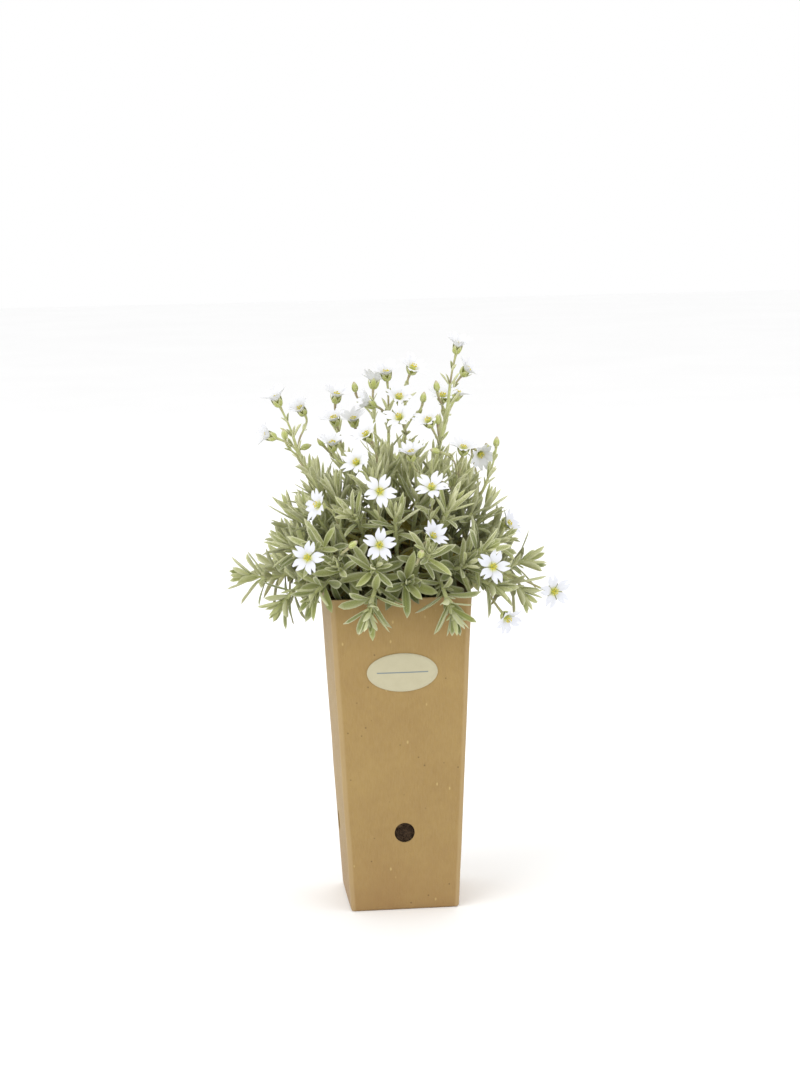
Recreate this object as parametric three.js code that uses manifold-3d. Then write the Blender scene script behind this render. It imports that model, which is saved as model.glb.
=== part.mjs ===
// A potted snow-in-summer: a tall square carton of kraft board, filled with soil, out of which grows a mound
// of silver leafy shoots with white five-petalled flowers on thin forked stems.
// Millimetres, +Z up, the viewer at -Y. The origin is the centre of the carton's flat base.

import * as THREE from "three";
import { mergeVertices } from "three/addons/utils/BufferGeometryUtils.js";
import Module from "manifold-3d";

const wasm = await Module();
wasm.setup();

// Driving dimensions of the carton, its label and its soil
const CARTON = { rimHalf: 40, baseHalf: 31, height: 182, board: 1.3, bulge: 1.5, bulgeRise: 32, fold: 2 };
const CREASE = { inset: 1.2, height: 1.6 };
const HOLE = { radius: 5.75, height: 46, sides: 14 };
const LABEL = { width: 40, height: 22, centre: 139.5, thick: 0.4, sides: 28 };
const SOIL = { top: 171, rootDepth: 5, sprayHole: 2.5, tuftHole: 5.1, holeSides: 6 };
const GAP = 0.3;

// Driving dimensions of the plant. A stem's rings are listed from its tip down: how far below the tip, how
// thick, and the length, width, opening and curl (in degrees) of the two leaves that grow there, if any do
const SHOOT = {
  root: 1.1, tipRadius: 0.5, plain: 2,
  rings: [
    { down: 1, radius: 1.2, length: 11, width: 3.4, open: 15, curl: -8 },
    { down: 4, radius: 1.8, length: 16, width: 4.4, open: 36, curl: 4 },
    { down: 8.5, radius: 2.3, length: 19.5, width: 5.2, open: 53, curl: 12 },
    { down: 14.5, radius: 2.6, length: 20, width: 5.4, open: 66, curl: 18 },
    { down: 22, radius: 2.5, length: 18, width: 5.0, open: 74, curl: 22 },
    { down: 28, radius: 1.6 },
  ],
};
const SPRAY = {
  root: 1.15, tipRadius: 0.7, plain: 3,
  rings: [
    { down: 1.5, radius: 0.95, length: 10, width: 3.2, open: 36, curl: 10 },
    { down: 5, radius: 0.95 },
    { down: 24, radius: 1.05, length: 15, width: 4.0, open: 42, curl: 12 },
    { down: 28.5, radius: 1.1 },
  ],
};
const INNER_SHOOT = { ...SHOOT, rings: [...SHOOT.rings.slice(0, 4), { down: 20, radius: 1.6 }] };
const CROWN = { radius: 3.7, top: 172.5, sides: 6, reach: 2.3, fusedTo: 190 };
const STALK = { root: 0.66, longSteps: 3, shortSteps: 2, long: 20 };
const BLADE = { thick: 0.9, inner: 0.42, outer: 0.76, outerShare: 0.84 };
const CALYX = { cup: 2.2, dip: 2.6, sepal: 3.9, sepalFoot: 1.9, opening: 22, floor: 2.8, mouth: 5.4 };
const COROLLA = {
  rise: 4.5, boss: 1.7, seat: 3.3, thick: 0.5, ridge: 4.6, flat: 10, shut: 38,
  valley: 2.2, shoulder: 7.0, lobe: 9.7, notch: 8.4, shoulderTurn: 27, lobeTurn: 14,
};
const BUD = { length: 6.6, radius: 1.75 };
const HEAD_SIDES = 5;

// Leafy shoots that hang over the rim in front and at the sides: the tip, then the way it faces, as degrees
// round from the viewer (to the right is positive) and degrees up
const LOW_SHOOTS = [
  { tip: [-20, -62, 175], round: -14, up: -8 },
  { tip: [-50, -48, 186], round: -40, up: 0 },
  { tip: [-67, -28, 177], round: -70, up: -16 },
  { tip: [-84, -5, 192], round: -88, up: 22 },
  { tip: [27, -58, 173], round: 34, up: -14 },
  { tip: [54, -46, 187], round: 50, up: 12 },
  { tip: [72, -24, 179], round: 72, up: -2 },
  { tip: [79, 4, 194], round: 92, up: 24 },
  { tip: [2, -57, 193], round: 4, up: 22 },
  { tip: [-36, -52, 202], round: -30, up: 30 },
  { tip: [37, -49, 201], round: 38, up: 30 },
];
// The rest of the mound stands in rings: how many shoots, the first one's place round, the step between them,
// and the reach, height and upward tilt of their tips
const RINGS = [
  { count: 7, first: 118, step: 21, reach: 80, height: 188, up: 8, open: 1.05 },
  { count: 13, first: 12, step: 27.7, reach: 66, height: 209, up: 34, open: 1 },
  { count: 10, first: 0, step: 36, reach: 47, height: 230, up: 58, open: 0.9, inner: true },
  { count: 6, first: 25, step: 60, reach: 26, height: 244, up: 74, open: 0.78, inner: true },
  { count: 3, first: 70, step: 120, reach: 9, height: 253, up: 84, open: 0.7, inner: true },
];
const TUFT = { sectors: 8, root: 28, innerReach: 30, innerRoots: [[-8, 3], [10, 2.5]] };

// Flowering stems. Each head is where its flower opens and the way that it faces, as for the shoots, with a
// cup of 0 for a flat flower and 1 for one that is half shut. A head with no cup is a bud.
const head = (x, y, z, round, up, cup) => ({ at: [x, y, z], round, up, cup });
const SPRAYS = [
  { name: "spray_left", root: [-19, 0], heads: [
    head(-65, -5, 292, -60, 62, 0.7), head(-71, -22, 273, -70, 20, 0.8), head(-50, 16, 284, -40, 45, 0.9),
    head(-61, -8, 272, -30, 75), head(-48, 8, 263, 80, 20)] },
  { name: "spray_left_back", root: [-9.5, 16.5], heads: [
    head(-28, 34, 290, 20, 70, 0.6), head(-31, 16, 278, -40, 60, 0.6), head(-40, 3, 266, -50, 45)] },
  { name: "spray_mid_left", root: [-6, -7], heads: [
    head(-16, -20, 272, -50, 48, 0.5), head(-23, -33, 258, -30, 30, 0.4), head(-34, -7, 266, -10, 65, 0.7)] },
  { name: "spray_back", root: [0, 19], heads: [
    head(-4, 56, 296, 160, 66, 0.6), head(-18, 40, 275, -30, 65, 0.6), head(-16, 50, 293, -60, 80)] },
  { name: "spray_centre", root: [-2, 9.5], heads: [
    head(0, 22, 303, -20, 68, 0.6), head(5, 0, 291, 10, 48, 0.4), head(-12, 10, 287, -80, 25, 0.8)] },
  { name: "spray_tall", root: [5, 9.5], heads: [
    head(14, 6, 307, 30, 52, 0.3), head(3, -17, 281, -30, 40, 0.3), head(19, 1, 290, 40, 78)] },
  { name: "spray_top", root: [16.5, 9.5], heads: [
    head(41, 15, 318, 30, 68, 0.8), head(19, -21, 279, -40, 52, 0.5), head(27, 4, 296, -30, 75),
    head(26, -6, 278, -20, 80)] },
  { name: "spray_right_back", root: [9.5, 16.5], heads: [
    head(50, 44, 302, 60, 45, 0.5), head(46, 60, 287, 60, 62, 0.5), head(34, 34, 288, 0, 60, 0.5)] },
  { name: "spray_mid_right", root: [8.5, -6], heads: [
    head(40, -11, 262, 10, 66, 0.4), head(8, -31, 262, -20, 70, 0.6), head(22, -25, 262, -60, 15)] },
  { name: "spray_right", root: [19, 0], heads: [
    head(61, 4, 263, 15, 76), head(53, 13, 255, 20, -20, 0.5), head(58, 22, 258, -30, 58),
    head(66, -5, 217, 60, 30, 0.4)] },
  { name: "spray_front_left", root: [-10.5, -15.5], heads: [
    head(-46, -43, 236, -62, 18, 0.1), head(-53, -58, 209, -18, 14, 0), head(-28, -62, 216, 60, 38)] },
  { name: "spray_front", root: [-0.5, -18], heads: [
    head(-12, -54, 244, 4, 24, 0), head(-14, -67, 216, 2, 12, 0.05)] },
  { name: "spray_front_right", root: [8.5, -14.5], heads: [
    head(17, -49, 245, -10, 48, 0.1), head(16, -61, 219, 40, 36, 0.6), head(8, -72, 211, 20, 48)] },
  { name: "spray_low_right", root: [16.5, -9], heads: [
    head(50, -55, 200, 4, 14, 0), head(90, -20, 179, 12, 8, 0.05), head(58, -52, 170, 30, -30, 0.3)] },
];
const FORK = { below: 15, pull: 0.1, share: 0.35, lowest: 197 };

// Materials
const MATERIAL = {
  card: new THREE.MeshStandardMaterial({ color: 0xae9060, roughness: 0.85, metalness: 0 }),
  label: new THREE.MeshStandardMaterial({ color: 0xd2ccaa, roughness: 0.6, metalness: 0 }),
  soil: new THREE.MeshStandardMaterial({ color: 0x33231a, roughness: 1, metalness: 0 }),
  leaf: new THREE.MeshStandardMaterial({ color: 0x9aa886, roughness: 0.9, metalness: 0 }),
  stem: new THREE.MeshStandardMaterial({ color: 0xa3b070, roughness: 0.8, metalness: 0 }),
  petal: new THREE.MeshStandardMaterial({ color: 0xf4f4f6, roughness: 0.7, metalness: 0 }),
};

// Small vector tools
const vector = ([x, y, z]) => new THREE.Vector3(x, y, z);
const UP = vector([0, 0, 1]);
const radians = THREE.MathUtils.degToRad;
const along = (start, direction, distance) => start.clone().addScaledVector(direction, distance);

/** The unit vector that faces `round` degrees from the viewer and `up` degrees up. */
function facing(round, up) {
  const level = Math.cos(radians(up));
  return vector([Math.sin(radians(round)) * level, -Math.cos(radians(round)) * level, Math.sin(radians(up))]);
}

/** Two unit vectors square to `axis` and to each other, the first as near `across` as it can be. */
function squareTo(axis, across) {
  const first = across.clone().addScaledVector(axis, -across.dot(axis)).normalize();
  return [first, axis.clone().cross(first)];
}

// Seeded draws, so that the plant is the same each time. Each stem, flower and leaf has its own seed.
const SEEDS = { heads: 100, sprays: 200, shoots: 300, leaves: 1300 };
let seed = 0;
function sow(number) {
  seed = Math.imul(number, 2654435761) >>> 0;
}
function draw(low, high) {
  seed = (Math.imul(seed, 1664525) + 1013904223) >>> 0;
  return low + ((high - low) * seed) / 4294967296;
}

/** The point and the direction at share `t` of a Bezier curve through its control points. */
function curveAt(control, t) {
  let points = control.map((point) => point.clone());
  let direction = new THREE.Vector3();
  while (points.length > 1) {
    if (points.length === 2) direction = points[1].clone().sub(points[0]).normalize();
    points = points.slice(1).map((point, i) => points[i].clone().lerp(point, t));
  }
  return { point: points[0], direction };
}

/** The point and the radius at share `t` of the straight pieces between a stem's rings. */
function chordAt({ control, rings }, t) {
  const found = rings.findIndex((ring) => ring.t >= t);
  const [low, high] = [rings[Math.max(found, 1) - 1], rings[Math.max(found, 1)]];
  const share = (t - low.t) / (high.t - low.t);
  const point = curveAt(control, low.t).point.lerp(curveAt(control, high.t).point, share);
  return { point, radius: low.radius + (high.radius - low.radius) * share };
}

/** The share of a curve at which `down` millimetres are left before its end. */
const CURVE_STEPS = 24;
function shareBelowTip(control, down) {
  let left = down;
  let last = control[control.length - 1];
  for (let i = CURVE_STEPS - 1; i >= 0; i -= 1) {
    const point = curveAt(control, i / CURVE_STEPS).point;
    const step = point.distanceTo(last);
    if (step >= left) return (i + 1 - left / step) / CURVE_STEPS;
    left -= step;
    last = point;
  }
  return 0;
}

// Room in the plant: every stem, leaf and flower is a string of beads, and what comes later keeps clear of it
const BEAD = { blade: 0.85, keel: 0.7, foot: 1, petal: 1.3, calyx: 2.4 };
const CELL = 7;
const cells = new Map();
const cellOf = (value) => Math.floor(value / CELL);
function addBeads(beads, node, shoot) {
  for (const bead of beads) {
    const key = [cellOf(bead.point.x), cellOf(bead.point.y), cellOf(bead.point.z)].join();
    if (!cells.has(key)) cells.set(key, []);
    cells.get(key).push({ ...bead, node, shoot });
  }
}

/** Half the carton's outer width at height z, without its bulge. */
const halfAt = (z) => CARTON.baseHalf + ((CARTON.rimHalf - CARTON.baseHalf) * z) / CARTON.height;
const WALL_GAP = 0.8;
/** Whether a bead is clear of the carton's wall, the ground and, unless it is a rooted stem's, the soil. */
function clearOfCarton({ point, radius, rooted }) {
  const low = point.z - radius - WALL_GAP;
  const out = Math.max(Math.abs(point.x), Math.abs(point.y));
  if (low > CARTON.height) return true;
  const half = halfAt(point.z);
  const inside = out + radius + WALL_GAP < half - CARTON.board;
  const outside = out - radius - WALL_GAP > half + CARTON.bulge;
  return (inside && (rooted || low > SOIL.top)) || (outside && low > 0);
}

/** Whether every bead is clear of the carton and of the beads that `skip` doesn't leave out. */
function clear(beads, gap, skip) {
  for (const bead of beads) {
    if (!clearOfCarton(bead)) return false;
    const { point, radius } = bead;
    const [i, j, k] = [cellOf(point.x), cellOf(point.y), cellOf(point.z)];
    for (let di = -1; di <= 1; di += 1)
      for (let dj = -1; dj <= 1; dj += 1)
        for (let dk = -1; dk <= 1; dk += 1)
          for (const other of cells.get([i + di, j + dj, k + dk].join()) ?? []) {
            if (skip(other)) continue;
            if (other.point.distanceTo(point) < other.radius + radius + gap) return false;
          }
  }
  return true;
}

const BEAD_STEP = 1.6;
/** The beads of a stem, all along it. */
function stemBeads(stem) {
  const count = Math.ceil((stem.control[0].distanceTo(stem.control[3]) * 1.2) / BEAD_STEP);
  const shares = Array.from({ length: count + 1 }, (_, i) => i / count);
  return shares.map((t) => ({ ...chordAt(stem, t), t, rooted: true }));
}

const STEM_TRIES = 60;
const ROOT_BEADS = 4;
const LOW_SHIFT = 0.35;
const TRIAL_RINGS = 6;
/** Bends a stem's two inner control points until all but its root is clear, and returns its curve or null. */
function bendClear([start, low, high, end], radius, skip, from = ROOT_BEADS) {
  const rings = Array.from({ length: TRIAL_RINGS + 1 }, (_, i) => ({ t: i / TRIAL_RINGS, radius }));
  for (let attempt = 0; attempt < STEM_TRIES; attempt += 1) {
    const reach = attempt && 1 + attempt * 0.35;
    const shift = (share) =>
      vector([draw(-1, 1) * share, draw(-1, 1) * share, draw(-0.3, 1)]).multiplyScalar(reach);
    const control = [start, low.clone().add(shift(LOW_SHIFT)), high.clone().add(shift(1)), end];
    if (clear(stemBeads({ control, rings }).slice(from), STEM_GAP, skip)) return control;
  }
  return null;
}

// Growth: where each stem, leaf and flower goes, before any solid is made
const STEM_GAP = 0.5;
const LEAF_GAP = 0.35;
const LEAF_BEADS = [0.3, 0.42, 0.54, 0.66, 0.78, 0.9, 1];
const LEAF_TRIES = 9;
const RING_TURN = radians(135);

/** A stem's rings from its root up, each turned so that its leaves stand over the gaps of the ring below. */
function ringsOf(control, form, roll) {
  const rings = form.rings.map((ring) => ({ ...ring, t: shareBelowTip(control, ring.down), leaves: [] }));
  const lowest = rings.at(-1).t;
  for (let i = form.plain; i >= 0; i -= 1)
    rings.push({ t: (lowest * i) / (form.plain + 1), radius: form.root, leaves: [] });
  rings.forEach((ring, number) => {
    ring.turn = roll + number * RING_TURN;
  });
  return [...rings.reverse(), { t: 1, radius: form.tipRadius, leaves: [] }];
}

/** A leaf of a stem's ring, on its near side or on the far one. */
function leafAt(stem, ring, far, { turn, open, scale }) {
  const { direction } = curveAt(stem.control, ring.t);
  const { point } = chordAt(stem, ring.t);
  const [first, second] = squareTo(direction, stem.across);
  const round = ring.turn + far * Math.PI + turn;
  const out = first.multiplyScalar(Math.cos(round)).addScaledVector(second, Math.sin(round));
  const lean = (angle) =>
    direction.clone().multiplyScalar(Math.cos(radians(angle))).addScaledVector(out, Math.sin(radians(angle)));
  const half = (ring.length * scale) / 2;
  const foot = along(point, out, ring.radius * Math.SQRT1_2);
  const below = stem.rings[stem.rings.indexOf(ring) - 1];
  const keel = along(curveAt(stem.control, below.t).point, out, below.radius);
  const knee = along(foot, lean(open), half);
  const midrib = [foot, knee, along(knee, lean(open + ring.curl), half)];
  const side = direction.clone().cross(out).normalize();
  return { midrib, side, keel, width: ring.width * (0.5 + 0.5 * scale), far };
}

/** The beads of a leaf blade, three across at each of a row of stations. */
function leafBeads({ midrib, side, width }) {
  return LEAF_BEADS.flatMap((u) => {
    const { point } = curveAt(midrib, u);
    const reach = 0.33 * width * Math.min(1, u / BLADE.inner, (1.12 - u) / (1.12 - BLADE.outer));
    const points = [-reach, 0, reach].map((shift) => along(point, side, shift));
    return points.map((place) => ({ point: place, radius: BEAD.blade, leaf: true }));
  });
}

/** The beads of a leaf's foot, from its keel's start on the stem. */
function footBeads({ midrib, keel }) {
  const { point } = curveAt(midrib, BLADE.inner);
  const low = [0.25, 0.5, 0.75].map((share) => ({ point: keel.clone().lerp(point, share), radius: BEAD.keel }));
  const high = [0.08, 0.16, 0.24].map((u) => ({ point: curveAt(midrib, u).point, radius: BEAD.foot }));
  return [...low, ...high].map((bead) => ({ ...bead, leaf: true, foot: true }));
}

let leafSeed = SEEDS.leaves;
/** A stem's leaves: each is turned, opened or shortened a little until it is clear, or left out. */
function growLeaves(stem, openShare) {
  const own = (other) => other.shoot === stem.shoot;
  const ownStem = (other) => own(other) && (!other.leaf || other.foot);
  for (const ring of stem.rings.filter(({ length }) => length))
    for (const far of [0, 1]) {
      sow((leafSeed += 1));
      for (let attempt = 0; attempt < LEAF_TRIES; attempt += 1) {
        const play = attempt * 4;
        const leaf = leafAt(stem, ring, far, {
          turn: radians(draw(-5 - play, 5 + play)),
          open: ring.open * openShare + draw(-4 - play, 4 + play),
          scale: draw(0.9, 1.08) - attempt * 0.03,
        });
        if (!clear(leafBeads(leaf), LEAF_GAP, ownStem) || !clear(footBeads(leaf), LEAF_GAP, own)) continue;
        addBeads([...leafBeads(leaf), ...footBeads(leaf)], stem.node, stem.shoot);
        ring.leaves.push(leaf);
        break;
      }
    }
}

/** A head's frame: its axis, the foot of its calyx on its stalk, and the ways to its sides. */
function headFrame({ at, round, up, cup }) {
  const axis = facing(round, up);
  const foot = along(vector(at), axis, -(cup === undefined ? BUD.length / 2 : CALYX.mouth));
  const [first, second] = squareTo(axis, facing(round + 90, 0));
  return { axis, foot, first, second };
}

/** A point of a head: `round` about its axis, `out` from it and `high` above its foot. */
function headPoint(made, round, out, high) {
  return along(made.foot, made.axis, high)
    .addScaledVector(made.first, Math.cos(round) * out)
    .addScaledVector(made.second, Math.sin(round) * out);
}

/** How steeply a flower's petals rise, in radians. */
const petalSlope = (cup) => radians(COROLLA.flat + COROLLA.shut * cup);

/** The beads that a flower's petals or a bud fill. */
function headBeads(made) {
  if (made.bud) return [1, 3.5, 6].map((high) => ({ point: headPoint(made, 0, 0, high), radius: BUD.radius }));
  const slope = petalSlope(made.cup);
  return [[3, 6], [5.6, 10], [8.3, 14]].flatMap(([out, count]) =>
    Array.from({ length: count }, (_, i) => {
      const high = COROLLA.rise + out * Math.sin(slope);
      return { point: headPoint(made, (i * 2 * Math.PI) / count, out * Math.cos(slope), high), radius: BEAD.petal };
    }));
}

/** The beads that a calyx fills. */
function calyxBeads(made) {
  return [1.5, 4].map((high) => ({ point: headPoint(made, 0, 0, high), radius: BEAD.calyx }));
}

const blooms = [];
/** Gives one of a spray's heads its frame, its own turn and the lengths of its petals. */
function setHead(spray, spec, number) {
  sow(SEEDS.heads + 40 * number + SPRAYS.indexOf(spray));
  const bud = spec.cup === undefined;
  const made = { ...spec, ...headFrame(spec), bud, roll: draw(0, 2 * Math.PI) };
  made.name = bud ? spray.name : `bloom_${String(blooms.length + 1).padStart(2, "0")}`;
  made.lengths = Array.from({ length: HEAD_SIDES }, () => draw(0.93, 1.05));
  addBeads(headBeads(made), made.name, spray.name);
  if (!bud) {
    addBeads(calyxBeads(made), spray.name, spray.name);
    blooms.push(made);
  }
  return made;
}
for (const spray of SPRAYS) spray.heads = spray.heads.map((spec, number) => setHead(spray, spec, number));

/** A flowering stem from the soil to its fork, and a stalk to each of its heads. */
function growSpray(spray, number) {
  sow(SEEDS.sprays + number);
  const [lead] = spray.heads;
  const root = vector([...spray.root, SOIL.top - SOIL.rootDepth]);
  const fork = along(along(lead.foot, lead.axis, -FORK.below * 0.45), UP, -FORK.below * 0.7);
  fork.lerp(root.clone().setZ(fork.z), FORK.pull).setZ(Math.max(fork.z, FORK.lowest));
  const rise = fork.z - root.z;
  const overRim = Math.max(0, CARTON.height + 32 - fork.z);
  const stem = { node: spray.name, shoot: spray.name };
  stem.across = facing(draw(0, 360), 0);
  stem.roll = draw(0, 2 * Math.PI);
  stem.control = bendClear([
    root,
    along(root, UP, rise * 0.5 + overRim),
    along(fork.clone().lerp(along(root, UP, rise), 0.18), UP, overRim - rise * 0.28),
    fork,
  ], SPRAY.root, (other) => other.shoot === spray.name);
  if (!stem.control) throw new Error(spray.name + " finds no way up");
  stem.rings = ringsOf(stem.control, SPRAY, stem.roll);
  addBeads(stemBeads(stem), spray.name, spray.name);
  spray.stem = stem;
  spray.stalks = spray.heads.map((made) => growStalk(stem, fork, made));
  for (const beads of spray.stalks.map(stemBeads)) {
    addBeads(beads.slice(0, ROOT_BEADS), spray.name, spray.name);
    addBeads(beads.slice(ROOT_BEADS), spray.name, spray.name + "_stalks");
  }
}

/** A head's stalk, from where it leaves its stem to the foot of the head. */
function growStalk(stem, fork, made) {
  const away = Math.hypot(made.foot.x - fork.x, made.foot.y - fork.y);
  const below = FORK.below * (0.8 + 2 * Math.max(-made.axis.z, 0));
  const join = Math.max(made.foot.z - below - FORK.share * away, FORK.lowest);
  let t = 0.97;
  while (t > 0.2 && curveAt(stem.control, t).point.z > join) t -= 0.02;
  const { point } = chordAt(stem, t);
  const length = point.distanceTo(made.foot);
  const leaving = along(point, curveAt(stem.control, t).direction, length * 0.4);
  const control = [point, leaving, along(made.foot, made.axis, -length * 0.35), made.foot];
  const across = headPoint(made, made.roll, 1, 0).sub(made.foot);
  const steps = length > STALK.long ? STALK.longSteps : STALK.shortSteps;
  const rings = Array.from({ length: steps + 1 }, (_, i) => ({ t: i / steps, radius: STALK.root }));
  const bent = bendClear(control, STALK.root, (other) => other.node === stem.node, 1);
  return { across, rings, control: bent ?? control };
}
SPRAYS.forEach(growSpray);

/** Every leafy shoot of the mound: its tip, the way it faces, and how wide its leaves open. */
function shootTips() {
  sow(SEEDS.shoots);
  const tips = LOW_SHOOTS.map((shoot) => ({ ...shoot, tip: vector(shoot.tip), open: 1 }));
  for (const ring of RINGS)
    for (let i = 0; i < ring.count; i += 1) {
      const round = ring.first + i * ring.step + draw(-5, 5);
      const tip = facing(round, 0).multiplyScalar(ring.reach + draw(-4, 4));
      tip.z = ring.height + draw(-5, 5);
      tips.push({ ...ring, tip, round: round + draw(-14, 14), up: ring.up + draw(-8, 8) });
    }
  return tips;
}

/** The tuft that a tip belongs to: one of the sectors round the pot, or the inner left or right one. */
function tuftIndex(tip) {
  if (Math.hypot(tip.x, tip.y) < TUFT.innerReach) return TUFT.sectors + (tip.x > 0 ? 1 : 0);
  const round = Math.atan2(tip.x, -tip.y) / (2 * Math.PI) + 1;
  return Math.round(round * TUFT.sectors) % TUFT.sectors;
}

const tufts = Array.from({ length: TUFT.sectors + 2 }, (_, i) => {
  const outer = facing((i * 360) / TUFT.sectors, 0).multiplyScalar(TUFT.root);
  const [x, y] = TUFT.innerRoots[i - TUFT.sectors] ?? [outer.x, outer.y];
  const root = vector([x, y, SOIL.top - SOIL.rootDepth]);
  return { name: `tuft_${String(i + 1).padStart(2, "0")}`, root, tips: [], stems: [] };
});

/** Where a shoot leaves its crown: off the middle the way that its tip lies from the middle of the tips. */
function rootOf(tuft, tip) {
  const middle = tuft.tips.reduce((sum, other) => sum.add(other), new THREE.Vector3());
  middle.divideScalar(tuft.tips.length);
  const away = tuft.tips.map((other) => other.clone().sub(middle).setZ(0));
  const widest = Math.max(...away.map((offset) => offset.length()), 1);
  return tip.clone().sub(middle).setZ(0).multiplyScalar(CROWN.reach / widest).add(tuft.root);
}

/** A leafy shoot's stem, from its tuft's crown, up and over the rim where it hangs outside, to its tip. */
function growShoot(spec, number) {
  sow(SEEDS.shoots + 1 + number);
  const tuft = tufts[tuftIndex(spec.tip)];
  const axis = facing(spec.round, spec.up);
  const length = tuft.root.distanceTo(spec.tip);
  const overRim = Math.max(0, CARTON.height + 12 - spec.tip.z);
  const stem = { node: tuft.name, shoot: `${tuft.name}_${number}`, open: spec.open, roll: draw(0, Math.PI) };
  stem.across = facing(spec.round + 90, 0);
  const root = rootOf(tuft, spec.tip);
  const fusedBelow = (other) => other.node === tuft.name && other.point.z < CROWN.fusedTo;
  stem.control = bendClear([
    root,
    along(root, UP, 26 + 0.22 * length + overRim * 0.6),
    along(along(spec.tip, axis, -0.34 * length), UP, overRim * 0.9),
    spec.tip,
  ], SHOOT.root, fusedBelow);
  if (!stem.control) return;
  stem.rings = ringsOf(stem.control, spec.inner ? INNER_SHOOT : SHOOT, stem.roll);
  thinToFit(stem, fusedBelow);
  addBeads(stemBeads(stem), tuft.name, stem.shoot);
  tuft.stems.push(stem);
}

/** Thins a stem's rings on both sides of each bead that isn't clear. */
function thinToFit(stem, skip) {
  for (let round = 0; round < STEM_TRIES; round += 1) {
    const tight = stemBeads(stem).slice(ROOT_BEADS).filter((bead) => !clear([bead], STEM_GAP, skip));
    for (const { t } of tight) {
      const above = stem.rings.findIndex((ring) => ring.t >= t);
      for (const ring of stem.rings.slice(Math.max(above - 1, 0), above + 1))
        ring.radius = Math.max(ring.radius - 0.3, Math.min(SHOOT.root, ring.radius));
    }
    if (!tight.length) return;
  }
}
const shoots = shootTips();
for (const { tip } of shoots) tufts[tuftIndex(tip)].tips.push(tip);
shoots.forEach(growShoot);
for (const spray of SPRAYS) growLeaves(spray.stem, 1);
for (const tuft of tufts) for (const stem of tuft.stems) growLeaves(stem, stem.open);

// Solids
/** A closed geometry from its points and the triangles between them. */
function closed(points, faces) {
  const positions = points.flatMap((point) => [point.x, point.y, point.z]);
  return new THREE.BufferGeometry()
    .setAttribute("position", new THREE.Float32BufferAttribute(positions, 3))
    .setIndex(faces.flat());
}

/** A skin that is put together from rings of points. A ring is the list of its points' places. */
class Skin {
  points = [];
  faces = [];

  ring(points) {
    this.points.push(...points);
    return points.map((_, i) => this.points.length - points.length + i);
  }

  /** Closes a ring that faces down. */
  floor(ring) {
    for (let i = 1; i + 1 < ring.length; i += 1) this.faces.push([ring[0], ring[i + 1], ring[i]]);
  }

  /** Closes a ring up to one point. */
  peak(ring, point) {
    const [top] = this.ring([point]);
    ring.forEach((at, i) => this.faces.push([at, ring[(i + 1) % ring.length], top]));
  }

  /** Joins two rings of as many points. */
  band(low, high) {
    low.forEach((at, i) => {
      const next = (i + 1) % low.length;
      this.faces.push([at, low[next], high[i]], [low[next], high[next], high[i]]);
    });
  }

  solid() {
    return solidOf(closed(this.points, this.faces));
  }
}

/** Rings of as many points each, joined into a closed body with flat ends. */
function loft(rings) {
  const skin = new Skin();
  const placedRings = rings.map((ring) => skin.ring(ring));
  skin.floor(placedRings[0]);
  placedRings.slice(1).forEach((ring, i) => skin.band(placedRings[i], ring));
  skin.floor([...placedRings.at(-1)].reverse());
  return skin.solid();
}

/** A closed three.js geometry as a solid for cutting and joining. */
function solidOf(geometry) {
  const bare = geometry.clone();
  bare.deleteAttribute("normal");
  bare.deleteAttribute("uv");
  const merged = mergeVertices(bare, 1e-4);
  const mesh = new wasm.Mesh({
    numProp: 3,
    vertProperties: merged.attributes.position.array,
    triVerts: new Uint32Array(merged.index.array),
  });
  const made = new wasm.Manifold(mesh);
  if (made.volume() < 0) throw new Error("a piece is inside out");
  return made;
}

/** A solid as a named mesh. */
function meshOf(name, solid, material) {
  const { vertProperties, triVerts, numProp } = solid.getMesh();
  const positions = [];
  for (let i = 0; i < vertProperties.length; i += numProp)
    positions.push(...vertProperties.subarray(i, i + 3));
  const geometry = new THREE.BufferGeometry()
    .setAttribute("position", new THREE.Float32BufferAttribute(positions, 3))
    .setIndex(Array.from(triVerts));
  geometry.computeVertexNormals();
  const mesh = new THREE.Mesh(geometry, material);
  mesh.name = name;
  return mesh;
}

const fused = (solids) => solids.reduce((whole, solid) => whole.add(solid));

/** A ring of the carton at height z, moved out by `offset`: four bulging sides and their rounded folds. */
function cartonRing(z, offset) {
  const half = halfAt(z) + offset;
  const fold = Math.max(CARTON.fold + offset, 0.5);
  const rise = Math.min(Math.max(z / CARTON.bulgeRise, 0), 1);
  const bulge = CARTON.bulge * (1 - (1 - rise) ** 2);
  const ring = [];
  for (let side = 0; side < 4; side += 1) {
    const out = facing(side * 90, 0);
    const right = facing(side * 90 + 90, 0);
    const place = (outward, sideways) => along(along(vector([0, 0, z]), out, outward), right, sideways);
    for (const share of [-1, -0.5, 0, 0.5, 1])
      ring.push(place(half + bulge * (1 - share ** 2), share * (half - fold)));
    const corner = half - fold + fold * Math.SQRT1_2;
    ring.push(place(corner, corner));
  }
  return ring;
}

/** The carton's outer form, filled, from one height to another. */
function cartonForm(offset, heights) {
  return loft(heights.map(([z, inset]) => cartonRing(z, offset - inset)));
}

// The inner rings of the carton's forms, each a height and an inset, and the inset of the inner floor's edge
const WALL_RINGS = [[12, 0], [32, 0]];
const FLOOR_INSET = 0.4;

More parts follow.
